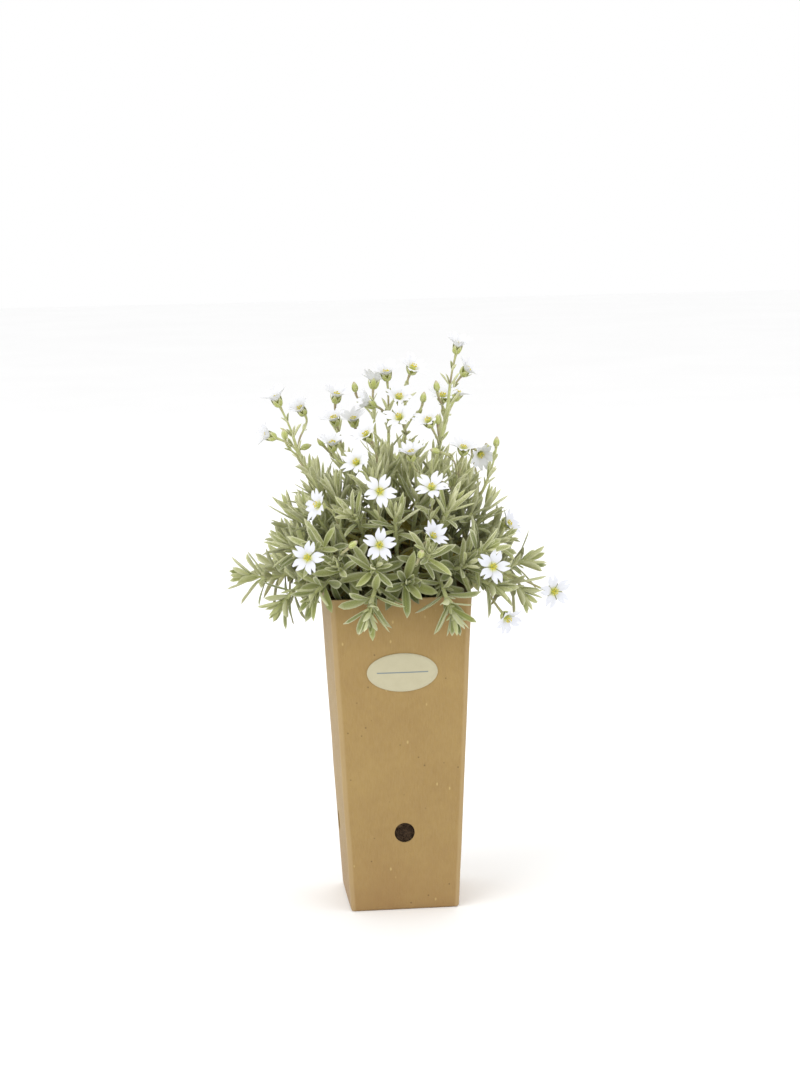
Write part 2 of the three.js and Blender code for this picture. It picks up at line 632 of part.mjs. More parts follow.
/** The open carton, with a round hole through each side. */
function carton() {
  const { height, board } = CARTON;
  const outer = cartonForm(0, [[0, CREASE.inset], [CREASE.height, 0], ...WALL_RINGS, [height, 0]]);
  const inner = cartonForm(-board, [[board, FLOOR_INSET], ...WALL_RINGS, [height + 1, 0]]);
  const bores = [0, 1].map((turn) => {
    const bore = new THREE.CylinderGeometry(HOLE.radius, HOLE.radius, 4 * CARTON.rimHalf, HOLE.sides);
    if (turn) bore.rotateZ(Math.PI / 2);
    return solidOf(bore.translate(0, 0, HOLE.height));
  });
  return bores.reduce((whole, bore) => whole.subtract(bore), outer.subtract(inner));
}

/** The oval label, lying on the front panel and following its bulge. */
function label() {
  const oval = new THREE.Shape().absellipse(0, 0, LABEL.width / 2, LABEL.height / 2, 0, 2 * Math.PI);
  const settings = { depth: CARTON.rimHalf, bevelEnabled: false, curveSegments: LABEL.sides };
  const prism = new THREE.ExtrudeGeometry(oval, settings);
  prism.rotateX(Math.PI / 2).translate(0, -CARTON.rimHalf / 2, LABEL.centre);
  const heights = [...WALL_RINGS, [CARTON.height, 0]];
  const skin = cartonForm(GAP + LABEL.thick, heights).subtract(cartonForm(GAP, heights));
  return skin.intersect(solidOf(prism));
}

/** The soil, with a plain hole for each stem. */
function soil(holes) {
  const inset = -CARTON.board - GAP;
  const filled = cartonForm(inset, [[CARTON.board + GAP, FLOOR_INSET], ...WALL_RINGS, [SOIL.top, 0]]);
  const depth = SOIL.rootDepth + GAP;
  return holes.reduce((whole, { x, y, radius }) => {
    const hole = new THREE.CylinderGeometry(radius, radius, 2 * depth, SOIL.holeSides);
    return whole.subtract(solidOf(hole.rotateX(Math.PI / 2).translate(x, y, SOIL.top)));
  }, filled);
}

/** A ring of points round a stem, the first at the angle `turn`. */
function stemRing({ control, across }, { t, radius }, turn, sides) {
  const { point, direction } = curveAt(control, t);
  const [first, second] = squareTo(direction, across);
  return Array.from({ length: sides }, (_, side) => {
    const round = turn + (2 * Math.PI * side) / sides;
    return along(along(point, first, radius * Math.cos(round)), second, radius * Math.sin(round));
  });
}

/** A leafy stem: four-sided rings, each an eighth of a turn off the last, with a blade where one grows. */
function leafyStem(stem) {
  const skin = new Skin();
  const rings = stem.rings.slice(0, -1);
  let low = skin.ring(stemRing(stem, rings[0], rings[0].turn - Math.PI / 4, 4));
  skin.floor(low);
  rings.slice(1).forEach((ring, i) => {
    const high = skin.ring(stemRing(stem, ring, ring.turn - Math.PI / 4, 4));
    const below = rings[i].turn - Math.PI / 4;
    const skips = Math.round((ring.turn - below) / (Math.PI / 2)) + 4;
    low = [0, 1, 2, 3].map((side) => low[(side + skips) % 4]);
    for (let side = 0; side < 4; side += 1) {
      const next = (side + 1) % 4;
      skin.faces.push([low[side], low[next], high[next]]);
      const leaf = ring.leaves.find(({ far }) => far * 2 === side);
      if (leaf) addBlade(skin, leaf, [low[side], high[next], high[side]]);
      else skin.faces.push([low[side], high[next], high[side]]);
    }
    low = high;
  });
  skin.peak(low, curveAt(stem.control, 1).point);
  return skin.solid();
}

/** The crown in the soil from which a tuft's shoots rise. */
function crown(root) {
  const form = new THREE.CylinderGeometry(CROWN.radius, CROWN.radius, CROWN.top - root.z, CROWN.sides);
  return solidOf(form.rotateX(Math.PI / 2).translate(root.x, root.y, (CROWN.top + root.z) / 2));
}

/** A leaf blade on one face of a stem: a lance outline, flat above, with a keel below that ends at its tip. */
function addBlade(skin, { midrib, side, width }, [keel, plus, minus]) {
  const at = (u, share) => {
    const { point, direction } = curveAt(midrib, u);
    const reach = (width * share) / 2;
    return [along(point, side, reach), along(point, side, -reach), point, direction];
  };
  const [innerPlus, innerMinus, middle, direction] = at(BLADE.inner, 1);
  const under = along(middle, side.clone().cross(direction).normalize(), BLADE.thick);
  const [plus1, minus1, keel1, plus2, minus2, tip] = skin.ring([
    innerPlus, innerMinus, under, ...at(BLADE.outer, BLADE.outerShare).slice(0, 2), midrib[2],
  ]);
  skin.faces.push(
    [minus, minus1, plus1], [minus, plus1, plus], [keel, plus, plus1], [keel, plus1, keel1],
    [minus, keel, keel1], [minus, keel1, minus1], [minus1, minus2, plus2], [minus1, plus2, plus1],
    [keel1, plus1, plus2], [keel1, plus2, tip], [minus1, keel1, minus2], [minus2, keel1, tip],
    [minus2, tip, plus2],
  );
}

/** A stalk with its head: a closed bud, or a calyx of five pointed sepals, hollowed to seat the petals. */
function headedStalk(stalk, made) {
  const skin = new Skin();
  const headRing = (out, high, shift) =>
    skin.ring(Array.from({ length: HEAD_SIDES }, (_, i) =>
      headPoint(made, made.roll + ((i + shift) * 2 * Math.PI) / HEAD_SIDES, out, high)));
  let low = skin.ring(stemRing(stalk, stalk.rings[0], 0, HEAD_SIDES));
  skin.floor(low);
  for (const ring of stalk.rings.slice(1, -1)) {
    const next = skin.ring(stemRing(stalk, ring, 0, HEAD_SIDES));
    skin.band(low, next);
    low = next;
  }
  const foot = headRing(STALK.root, 0, 0);
  skin.band(low, foot);
  if (made.bud) {
    const belly = headRing(BUD.radius, 0.35 * BUD.length, 0);
    const neck = headRing(0.85 * BUD.radius, 0.65 * BUD.length, 0);
    skin.band(foot, belly);
    skin.band(belly, neck);
    skin.peak(neck, headPoint(made, 0, 0, BUD.length));
    return skin.solid();
  }
  const slope = petalSlope(made.cup) + radians(CALYX.opening);
  const reach = [1.4 + CALYX.sepal * Math.cos(slope), CALYX.sepalFoot + CALYX.sepal * Math.sin(slope)];
  const [tips, dips] = [headRing(...reach, 0), headRing(CALYX.cup, CALYX.dip, 0.5)];
  const [floor] = skin.ring([headPoint(made, 0, 0, CALYX.floor)]);
  for (let i = 0; i < HEAD_SIDES; i += 1) {
    const next = (i + 1) % HEAD_SIDES;
    skin.faces.push([foot[i], dips[i], tips[i]], [foot[i], foot[next], dips[i]]);
    skin.faces.push([foot[next], tips[next], dips[i]]);
    skin.faces.push([tips[i], dips[i], floor], [dips[i], tips[next], floor]);
  }
  return skin.solid();
}

/** A corolla: five petals notched at their ends, joined round a raised centre, in one thin faceted plate. */
function corolla(made) {
  const skin = new Skin();
  const slope = petalSlope(made.cup);
  const turnOf = (side) => made.roll + (side * 2 * Math.PI) / HEAD_SIDES;
  const petal = (i, degrees, reach, lift) => {
    const out = reach * made.lengths[i];
    const round = turnOf(i + 0.5) + radians(degrees);
    return headPoint(made, round, out * Math.cos(slope), COROLLA.rise + out * Math.sin(slope) + lift);
  };
  const { valley, shoulder, lobe, notch, shoulderTurn, lobeTurn } = COROLLA;
  const each = [0, 1, 2, 3, 4];
  const rim = skin.ring(each.flatMap((i) => [
    headPoint(made, turnOf(i), valley, COROLLA.rise + valley * Math.sin(slope)),
    petal(i, -shoulderTurn, shoulder, 0), petal(i, -lobeTurn, lobe, 0), petal(i, 0, notch, 0),
    petal(i, lobeTurn, lobe, 0), petal(i, shoulderTurn, shoulder, 0),
  ]));
  const ridges = skin.ring(each.map((i) => petal(i, 0, COROLLA.ridge, COROLLA.thick)));
  const [boss, seat] = skin.ring([
    headPoint(made, 0, 0, COROLLA.rise + COROLLA.boss), headPoint(made, 0, 0, COROLLA.seat),
  ]);
  for (const i of each) {
    const edge = [...rim.slice(6 * i, 6 * i + 6), rim[(6 * i + 6) % rim.length]];
    for (let k = 0; k < 6; k += 1)
      skin.faces.push([ridges[i], edge[k], edge[k + 1]], [seat, edge[k + 1], edge[k]]);
    skin.faces.push([ridges[i], edge[6], boss], [ridges[i], boss, edge[0]]);
  }
  return skin.solid();
}

// The nodes
const plant = new THREE.Group();
for (const made of blooms) plant.add(meshOf(made.name, corolla(made), MATERIAL.petal));
for (const { name, stem, stalks, heads } of SPRAYS) {
  const headed = stalks.map((stalk, i) => headedStalk(stalk, heads[i]));
  plant.add(meshOf(name, fused([leafyStem(stem), ...headed]), MATERIAL.stem));
}
for (const { name, root, stems } of tufts)
  plant.add(meshOf(name, fused([crown(root), ...stems.map(leafyStem)]), MATERIAL.leaf));

const holes = [
  ...SPRAYS.map(({ root: [x, y] }) => ({ x, y, radius: SOIL.sprayHole })),
  ...tufts.map(({ root: { x, y } }) => ({ x, y, radius: SOIL.tuftHole })),
];
const pot = new THREE.Group();
pot.add(meshOf("carton", carton(), MATERIAL.card));
pot.add(meshOf("label", label(), MATERIAL.label));
pot.add(meshOf("soil", soil(holes), MATERIAL.soil));

const object = new THREE.Group();
object.add(pot, plant);
export default object;
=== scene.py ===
"""The looks of a potted snow-in-summer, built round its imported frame.

The plant grows by the same seeded rule as its solids, so each fine leaf, stem, calyx and petal lies where
its solid does. Leaves, sepals, petals and stamens are blades that Geometry Nodes bend along their midribs.
Stems are tubes along their curves, and fine hairs stand on them. Growth is worked out in millimetres, and
meshes are in metres.
"""

from __future__ import annotations

import logging
import math
from collections.abc import Callable, Iterable, Sequence
from dataclasses import dataclass, field, fields, replace
from enum import Enum
from functools import cache, reduce
from math import atan2, cos, hypot, pi, radians, sin, sqrt, tau

import bmesh
import bpy
import numpy as np
from bpy.types import Material, Mesh, Node, NodeSocket, NodeTree, Object
from mathutils import Matrix, Vector, noise
from numpy.linalg import norm

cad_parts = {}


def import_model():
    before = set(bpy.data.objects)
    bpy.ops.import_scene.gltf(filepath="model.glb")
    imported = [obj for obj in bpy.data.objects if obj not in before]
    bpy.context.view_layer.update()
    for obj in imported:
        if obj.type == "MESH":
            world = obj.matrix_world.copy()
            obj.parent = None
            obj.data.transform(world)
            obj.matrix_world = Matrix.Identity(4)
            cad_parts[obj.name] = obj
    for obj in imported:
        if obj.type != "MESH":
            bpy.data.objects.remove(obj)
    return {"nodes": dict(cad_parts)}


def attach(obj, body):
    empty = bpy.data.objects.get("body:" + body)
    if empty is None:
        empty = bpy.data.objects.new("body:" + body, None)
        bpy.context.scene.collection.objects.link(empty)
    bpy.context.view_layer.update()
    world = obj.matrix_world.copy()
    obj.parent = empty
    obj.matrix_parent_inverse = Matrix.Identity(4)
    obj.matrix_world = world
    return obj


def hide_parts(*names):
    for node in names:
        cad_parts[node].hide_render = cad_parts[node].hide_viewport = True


LOG = logging.getLogger("snow_in_summer")
MM = 0.001
BODY = "root"

Array = np.ndarray
Colour = tuple[float, float, float]
UP = np.array([0.0, 0.0, 1.0])


# Small vector tools, in millimetres
def unit(vector: Array) -> Array:
    """The vector at length 1."""
    return vector / norm(vector)


def facing(turn: float, up: float) -> Array:
    """The unit vector that faces `turn` degrees round from the viewer and `up` degrees up."""
    level = cos(radians(up))
    around = radians(turn)
    return np.array([sin(around) * level, -cos(around) * level, sin(radians(up))])


def square_to(axis: Array, across: Array) -> tuple[Array, Array]:
    """Two unit vectors square to an axis and to each other.

    Args:
        axis: The unit axis.
        across: The direction that the first one comes as near to as it can.

    Returns:
        The two unit vectors.
    """
    first = unit(across - axis * across.dot(axis))
    return first, np.cross(axis, first)


def curve_points(control: Array, shares: Array) -> Array:
    """The points of a Bezier curve at several shares of it.

    Args:
        control: The control points, one a row.
        shares: The shares, from 0 to 1.

    Returns:
        One point a row.
    """
    layers = [np.repeat(point[None], len(shares), 0) for point in control]
    while len(layers) > 1:
        layers = [low + (high - low) * shares[:, None] for low, high in zip(layers, layers[1:])]
    return layers[0]


def curve_at(control: Array, share: float) -> tuple[Array, Array]:
    """The point and the unit direction of a Bezier curve at one share of it."""
    layers = list(control)
    while len(layers) > 2:
        layers = [low + (high - low) * share for low, high in zip(layers, layers[1:])]
    return layers[0] + (layers[1] - layers[0]) * share, unit(layers[1] - layers[0])


# The leaf and stem finishes darken by this depth as painted shade inside the mound; leaves are also widened
# by it.
def depth_in_mound(point: Array) -> float:
    """How deep in the mound a point lies, from 0 at its surface to 1 in its middle."""
    share = float(norm((point - MOUND_CENTRE) / MOUND_REACH))
    return min(max((0.9 - share) / 0.45, 0), 1)


class Draws:
    """Seeded draws, the same as those that place the solids."""

    def __init__(self, number: int) -> None:
        """Sows the draws with a whole number."""
        self.seed = (number * 2654435761) & 0xFFFFFFFF

    def __call__(self, low: float, high: float) -> float:
        """The next number between two limits."""
        self.seed = (self.seed * 1664525 + 1013904223) & 0xFFFFFFFF
        return low + (high - low) * self.seed / 4294967296


# Driving dimensions of the pot, in millimetres
@dataclass(frozen=True)
class PotSizes:
    """The sizes of the carton, its label and its soil."""

    rim_half: float = 40
    base_half: float = 31
    height: float = 182
    board: float = 1.3
    bulge: float = 1.5
    bulge_rise: float = 32
    fold: float = 2
    crease_inset: float = 1.2
    crease_height: float = 1.6
    hole_radius: float = 5.75
    hole_height: float = 46
    label_width: float = 40
    label_height: float = 22
    label_centre: float = 139.5
    label_lift: float = 0.12
    label_thick: float = 0.4
    soil_top: float = 171
    root_depth: float = 5
    gap: float = 0.3
    dent: float = 0.35

    def half_at(self, z: float | Array) -> float | Array:
        """Half the carton's outer width at a height, without its bulge."""
        return self.base_half + (self.rim_half - self.base_half) * z / self.height

    def bulge_at(self, z: float) -> float:
        """How far the middle of a side bulges at a height."""
        rise = min(max(z / self.bulge_rise, 0), 1)
        return self.bulge * (1 - (1 - rise) ** 2)


POT = PotSizes()


# Driving dimensions of the plant, in millimetres and degrees
@dataclass
class Ring:
    """A ring of a stem, and the pair of leaves that grows on it if it has a length for them."""

    down: float = 0.0
    radius: float = 1.0
    length: float = 0.0
    width: float = 0.0
    open: float = 0.0
    curl: float = 0.0
    t: float = 0.0
    turn: float = 0.0
    age: float = 0.0
    leaves: list["Leaf"] = field(default_factory=list)


@dataclass(frozen=True)
class StemForm:
    """How a kind of stem is ringed from its tip down."""

    root: float
    tip_radius: float
    plain: int
    rings: tuple[tuple[float, ...], ...]


SHOOT = StemForm(1.1, 0.5, 2, (
    (1, 1.2, 11, 3.4, 15, -8),
    (4, 1.8, 16, 4.4, 36, 4),
    (8.5, 2.3, 19.5, 5.2, 53, 12),
    (14.5, 2.6, 20, 5.4, 66, 18),
    (22, 2.5, 18, 5.0, 74, 22),
    (28, 1.6),
))
INNER_SHOOT = StemForm(1.1, 0.5, 2, (*SHOOT.rings[:4], (20, 1.6)))
SPRAY = StemForm(1.15, 0.7, 3, (
    (1.5, 0.95, 10, 3.2, 36, 10), (5, 0.95), (24, 1.05, 15, 4.0, 42, 12), (28.5, 1.1),
))
CROWN_REACH, CROWN_FUSED_TO = 2.3, 190
STALK_ROOT, STALK_LONG = 0.66, 20
BUD_LENGTH, BUD_RADIUS = 6.6, 1.75
CALYX_MOUTH = 5.4
HEAD_SIDES = 5
PETAL_RISE, PETAL_LOBE, PETAL_FLAT, PETAL_SHUT = 4.5, 9.7, 10, 38
RING_TURN = radians(135)


@dataclass(frozen=True)
class ShootSpec:
    """Where a leafy shoot's tip is and how it faces."""

    tip: Array
    turn: float
    up: float
    open: float = 1
    inner: bool = False


LOW_SHOOTS = (
    ((-20, -62, 175), -14, -8), ((-50, -48, 186), -40, 0), ((-67, -28, 177), -70, -16),
    ((-84, -5, 192), -88, 22), ((27, -58, 173), 34, -14), ((54, -46, 187), 50, 12),
    ((72, -24, 179), 72, -2), ((79, 4, 194), 92, 24),
    ((2, -57, 193), 4, 22), ((-36, -52, 202), -30, 30), ((37, -49, 201), 38, 30),
)


# Upright shoots among the flowering stems, which the solids leave out: tip, turn and tilt
UPRIGHT_SHOOTS = (
    ((-34, -14, 243), -70, 78), ((-44, 8, 240), -90, 74), ((-25, 14, 251), -40, 82),
    ((-52, -10, 229), -80, 70),
    ((21, -16, 250), 20, 82), ((36, -6, 246), 60, 78), ((46, 10, 239), 80, 74), ((30, 18, 251), 120, 82),
    ((-14, -26, 246), -20, 78), ((10, 24, 256), 170, 84), ((54, -8, 230), 80, 70), ((-6, 4, 257), 0, 86),
    ((-40, 28, 244), -130, 76), ((44, 32, 242), 130, 74), ((-58, 14, 226), -100, 66), ((5, 44, 246), 180, 74),
)


@dataclass(frozen=True)
class MoundRing:
    """A ring of shoots in the mound."""

    count: int
    first: float
    step: float
    reach: float
    height: float
    up: float
    open: float
    inner: bool = False


MOUND = (
    MoundRing(7, 118, 21, 80, 188, 8, 1.05),
    MoundRing(13, 12, 27.7, 66, 209, 34, 1),
    MoundRing(10, 0, 36, 47, 230, 58, 0.9, True),
    MoundRing(6, 25, 60, 26, 244, 74, 0.78, True),
    MoundRing(3, 70, 120, 9, 253, 84, 0.7, True),
)
TUFT_SECTORS, TUFT_ROOT, TUFT_INNER_REACH = 8, 28, 30
TUFT_INNER_ROOTS = ((-8, 3), (10, 2.5))

# Each flowering stem's name, root and heads. A head is its place, its turn, its tilt and how far its flower
# is shut, and a bud where that is left out.
SPRAYS = (
    ("spray_left", (-19, 0), (
        (-65, -5, 292, -60, 62, 0.7), (-71, -22, 273, -70, 20, 0.8), (-50, 16, 284, -40, 45, 0.9),
        (-61, -8, 272, -30, 75), (-48, 8, 263, 80, 20))),
    ("spray_left_back", (-9.5, 16.5), (
        (-28, 34, 290, 20, 70, 0.6), (-31, 16, 278, -40, 60, 0.6), (-40, 3, 266, -50, 45))),
    ("spray_mid_left", (-6, -7), (
        (-16, -20, 272, -50, 48, 0.5), (-23, -33, 258, -30, 30, 0.4), (-34, -7, 266, -10, 65, 0.7))),
    ("spray_back", (0, 19), (
        (-4, 56, 296, 160, 66, 0.6), (-18, 40, 275, -30, 65, 0.6), (-16, 50, 293, -60, 80))),
    ("spray_centre", (-2, 9.5), (
        (0, 22, 303, -20, 68, 0.6), (5, 0, 291, 10, 48, 0.4), (-12, 10, 287, -80, 25, 0.8))),
    ("spray_tall", (5, 9.5), ((14, 6, 307, 30, 52, 0.3), (3, -17, 281, -30, 40, 0.3), (19, 1, 290, 40, 78))),
    ("spray_top", (16.5, 9.5), (
        (41, 15, 318, 30, 68, 0.8), (19, -21, 279, -40, 52, 0.5), (27, 4, 296, -30, 75),
        (26, -6, 278, -20, 80))),
    ("spray_right_back", (9.5, 16.5), (
        (50, 44, 302, 60, 45, 0.5), (46, 60, 287, 60, 62, 0.5), (34, 34, 288, 0, 60, 0.5))),
    ("spray_mid_right", (8.5, -6), (
        (40, -11, 262, 10, 66, 0.4), (8, -31, 262, -20, 70, 0.6), (22, -25, 262, -60, 15))),
    ("spray_right", (19, 0), (
        (61, 4, 263, 15, 76), (53, 13, 255, 20, -20, 0.5), (58, 22, 258, -30, 58),
        (66, -5, 217, 60, 30, 0.4))),
    ("spray_front_left", (-10.5, -15.5), (
        (-46, -43, 236, -62, 18, 0.1), (-53, -58, 209, -18, 14, 0), (-28, -62, 216, 60, 38))),
    ("spray_front", (-0.5, -18), ((-12, -54, 244, 4, 24, 0), (-14, -67, 216, 2, 12, 0.05))),
    ("spray_front_right", (8.5, -14.5), (
        (17, -49, 245, -10, 48, 0.1), (16, -61, 219, 40, 36, 0.6), (8, -72, 211, 20, 48))),
    ("spray_low_right", (16.5, -9), (
        (50, -55, 200, 4, 14, 0), (90, -20, 179, 12, 8, 0.05), (58, -52, 170, 30, -30, 0.3))),
)
MOUND_CENTRE, MOUND_REACH = np.array([0, 0, 185.0]), np.array([88, 72, 76.0])
FORK_BELOW, FORK_PULL, FORK_SHARE, FORK_LOWEST = 15, 0.1, 0.35, 197
SEED_HEADS, SEED_SPRAYS, SEED_SHOOTS, SEED_LEAVES, SEED_EXTRAS = 100, 200, 300, 1300, 9000


# Room in the plant
@dataclass
class Beads:
    """A string of beads that fills a stem, a leaf or a flower."""

    points: Array
    radii: Array
    node: str = ""
    shoot: str = ""
    leaf: bool = False
    foot: bool = False
    rooted: bool = False
    shares: Array | None = None

    def part(self, start: int, end: int | None = None) -> "Beads":
        """The beads from one place in the string up to another."""
        cut = slice(start, end)
        shares = None if self.shares is None else self.shares[cut]
        return replace(self, points=self.points[cut], radii=self.radii[cut], shares=shares)


Skip = Callable[["Room", Array], Array]


class Room:
    """All the beads so far, which whatever grows later keeps clear of."""

    WALL_GAP = 0.8
    CAPACITY = 120000

    def __init__(self) -> None:
        """Starts with no beads."""
        self.points = np.zeros((self.CAPACITY, 3))
        self.radii = np.zeros(self.CAPACITY)
        self.node = np.zeros(self.CAPACITY, int)
        self.shoot = np.zeros(self.CAPACITY, int)
        self.leaf = np.zeros(self.CAPACITY, bool)
        self.foot = np.zeros(self.CAPACITY, bool)
        self.count = 0
        self.numbers: dict[str, int] = {}

    def number(self, name: str) -> int:
        """The number that stands for a name."""
        return self.numbers.setdefault(name, len(self.numbers) + 1)

    def add(self, beads: Beads) -> None:
        """Keeps a string of beads."""
        place = slice(self.count, self.count + len(beads.points))
        self.points[place] = beads.points
        self.radii[place] = beads.radii
        self.node[place] = self.number(beads.node)
        self.shoot[place] = self.number(beads.shoot)
        self.leaf[place] = beads.leaf
        self.foot[place] = beads.foot
        self.count = place.stop

    def off_carton(self, beads: Beads) -> Array:
        """Which beads are clear of the carton's wall, the ground and, unless they are rooted, the soil."""
        low = beads.points[:, 2] - beads.radii - self.WALL_GAP
        out = np.abs(beads.points[:, :2]).max(1)
        half = POT.half_at(beads.points[:, 2])
        inside = out + beads.radii + self.WALL_GAP < half - POT.board
        outside = out - beads.radii - self.WALL_GAP > half + POT.bulge
        return (low > POT.height) | (inside & (beads.rooted | (low > POT.soil_top))) | (outside & (low > 0))

    def tight(self, beads: Beads, gap: float, skip: Skip) -> Array:
        """Which beads touch the carton or come nearer than a gap to others.

        Args:
            beads: The beads to try.
            gap: The room that they need, in millimetres.
            skip: Says which of the kept beads they may touch.

        Returns:
            True for each bead that is too near.
        """
        touching = ~self.off_carton(beads)
        reach = self.radii[: self.count].max(initial=0) + beads.radii.max() + gap
        kept = self.points[: self.count]
        near = np.flatnonzero(
            ((kept > beads.points.min(0) - reach) & (kept < beads.points.max(0) + reach)).all(1)
        )
        near = near[~skip(self, near)]
        if len(near):
            apart = norm(kept[near][:, None] - beads.points[None], axis=2)
            touching |= (apart < self.radii[near][:, None] + beads.radii[None] + gap).any(0)
        return touching

    def clear(self, beads: Beads, gap: float, skip: Skip) -> bool:
        """Whether none of the beads is too near to anything."""
        return bool(self.off_carton(beads).all()) and not self.tight(beads, gap, skip).any()


def skip_shoot(room: Room, name: str) -> Skip:
    """Leaves out the beads of one shoot."""
    own = room.number(name)
    return lambda kept, near: kept.shoot[near] == own


def skip_node(room: Room, name: str) -> Skip:
    """Leaves out the beads of one node."""
    own = room.number(name)
    return lambda kept, near: kept.node[near] == own


def skip_stem(room: Room, name: str) -> Skip:
    """Leaves out the stem and the leaf feet of one shoot."""
    own = room.number(name)
    return lambda kept, near: (kept.shoot[near] == own) & (~kept.leaf[near] | kept.foot[near])


def skip_fused(room: Room, name: str) -> Skip:
    """Leaves out the low part of one tuft, which is joined."""
    own = room.number(name)
    return lambda kept, near: (kept.node[near] == own) & (kept.points[near, 2] < CROWN_FUSED_TO)


# Growth
@dataclass
class Leaf:
    """A leaf's midrib curve, the way to its side, where its keel starts, and its width."""

    midrib: Array
    side: Array
    keel: Array
    width: float
    axis: Array
    age: float = 0.0


@dataclass
class Stem:
    """A stem's curve and its rings, from the root up."""

    node: str
    shoot: str
    control: Array
    across: Array
    rings: list[Ring] = field(default_factory=list)
    open: float = 1.0

    def chord_points(self, shares: Array) -> Array:
        """The points of the straight pieces between the rings at several shares of the curve."""
        knots = np.array([ring.t for ring in self.rings])
        places = curve_points(self.control, knots)
        return np.stack([np.interp(shares, knots, places[:, i]) for i in range(3)], 1)

    def radii(self, shares: Array) -> Array:
        """The radii at several shares of the curve."""
        return np.interp(shares, [ring.t for ring in self.rings], [ring.radius for ring in self.rings])

    def beads(self) -> Beads:
        """The beads all along the stem."""
        count = math.ceil(norm(self.control[0] - self.control[3]) * 1.2 / 1.6)
        shares = np.arange(count + 1) / count
        return Beads(self.chord_points(shares), self.radii(shares), self.node, self.shoot, rooted=True,
                     shares=shares)

    def share_below_tip(self, down: float) -> float:
        """The share of the curve at which a length is left before its end."""
        steps = 24
        last = self.control[-1]
        for i in range(steps - 1, -1, -1):
            point = curve_at(self.control, i / steps)[0]
            step = float(norm(point - last))
            if step >= down:
                return (i + 1 - down / step) / steps
            down -= step
            last = point
        return 0.0

    def set_rings(self, form: StemForm, roll: float) -> None:
        """Gives the stem the rings of its form, each turned so that its leaves stand over the gaps below."""
        rings = [Ring(*numbers) for numbers in form.rings]
        for ring in rings:
            ring.t = self.share_below_tip(ring.down)
        lowest = rings[-1].t
        for i in range(form.plain, -1, -1):
            rings.append(Ring(t=lowest * i / (form.plain + 1), radius=form.root))
        for number, ring in enumerate(rings):
            ring.turn = roll + number * RING_TURN
        self.rings = [*reversed(rings), Ring(t=1.0, radius=form.tip_radius)]

    def leaf_at(self, ring: Ring, far: int, turn: float, opened: float, scale: float) -> Leaf:
        """A leaf of one of the stem's rings.

        Args:
            ring: The ring that it grows on.
            far: 0 for the near side and 1 for the far one.
            turn: How far it is turned from its place, in radians.
            opened: How far it stands away from the stem, in degrees.
            scale: Its length as a share of the ring's.

        Returns:
            The leaf.
        """
        point, direction = curve_at(self.control, ring.t)
        first, second = square_to(direction, self.across)
        around = ring.turn + far * pi + turn
        out = first * cos(around) + second * sin(around)

        def lean(angle: float) -> Array:
            """The direction that stands at an angle to the stem."""
            return direction * cos(radians(angle)) + out * sin(radians(angle))

        half = ring.length * scale / 2
        foot = point + out * ring.radius * sqrt(0.5)
        below = self.below(ring)
        keel = curve_at(self.control, below.t)[0] + out * below.radius
        knee = foot + lean(opened) * half
        midrib = np.array([foot, knee, knee + lean(opened + ring.curl) * half])
        side = unit(np.cross(direction, out))
        return Leaf(midrib, side, keel, ring.width * (0.5 + 0.5 * scale), point, ring.age)

    def below(self, ring: Ring) -> Ring:
        """The ring below another, which may be one that isn't in the list."""
        lower = [other for other in self.rings if other.t < ring.t]
        return lower[-1] if lower else self.rings[0]


@dataclass
class Head:
    """A flower or a bud: its frame, its turn and the lengths of its petals."""

    name: str
    foot: Array
    axis: Array
    first: Array
    second: Array
    cup: float | None
    roll: float
    lengths: list[float]

    @property
    def bud(self) -> bool:
        """Whether it is a closed bud."""
        return self.cup is None

    @property
    def slope(self) -> float:
        """How steeply its petals rise, in radians."""
        return radians(PETAL_FLAT + PETAL_SHUT * (self.cup or 0))

    def point(self, around: float, out: float, high: float) -> Array:
        """The point `around` its axis, `out` from it and `high` above its foot."""
        sideways = self.first * (cos(around) * out) + self.second * (sin(around) * out)
        return self.foot + self.axis * high + sideways

    def side(self, around: float) -> Array:
        """The way round its axis at one place."""
        return self.second * cos(around) - self.first * sin(around)

    def turn_of(self, place: float) -> float:
        """The angle round the axis of one of its five sides."""
        return self.roll + place * 2 * pi / HEAD_SIDES


@dataclass
class Tuft:
    """Leafy shoots that rise from one crown."""

    name: str
    root: Array
    tips: list[Array] = field(default_factory=list)
    stems: list[Stem] = field(default_factory=list)


@dataclass
class Spray:
    """A flowering stem with a stalk to each of its heads."""

    name: str
    root: tuple[float, float]
    heads: list[Head]
    stem: Stem | None = None
    stalks: list[Stem] = field(default_factory=list)


def blade_beads(leaf: Leaf, node: str, shoot: str) -> Beads:
    """The beads of a leaf blade, three across at each of a row of stations."""
    shares = np.array([0.3, 0.42, 0.54, 0.66, 0.78, 0.9, 1])
    reach = 0.33 * leaf.width * np.minimum(1, np.minimum(shares / 0.42, (1.12 - shares) / (1.12 - 0.76)))
    middle = curve_points(leaf.midrib, shares)
    points = np.concatenate([middle + leaf.side * (reach * sign)[:, None] for sign in (-1, 0, 1)])
    return Beads(points, np.full(len(points), 0.85), node, shoot, leaf=True)


def foot_beads(leaf: Leaf, node: str, shoot: str) -> Beads:
    """The beads of a leaf's foot, from its keel's start on the stem."""
    inner = curve_at(leaf.midrib, 0.42)[0]
    low = [leaf.keel + (inner - leaf.keel) * share for share in (0.25, 0.5, 0.75)]
    high = curve_points(leaf.midrib, np.array([0.08, 0.16, 0.24]))
    return Beads(np.array([*low, *high]), np.array([0.7] * 3 + [1.0] * 3), node, shoot, leaf=True, foot=True)


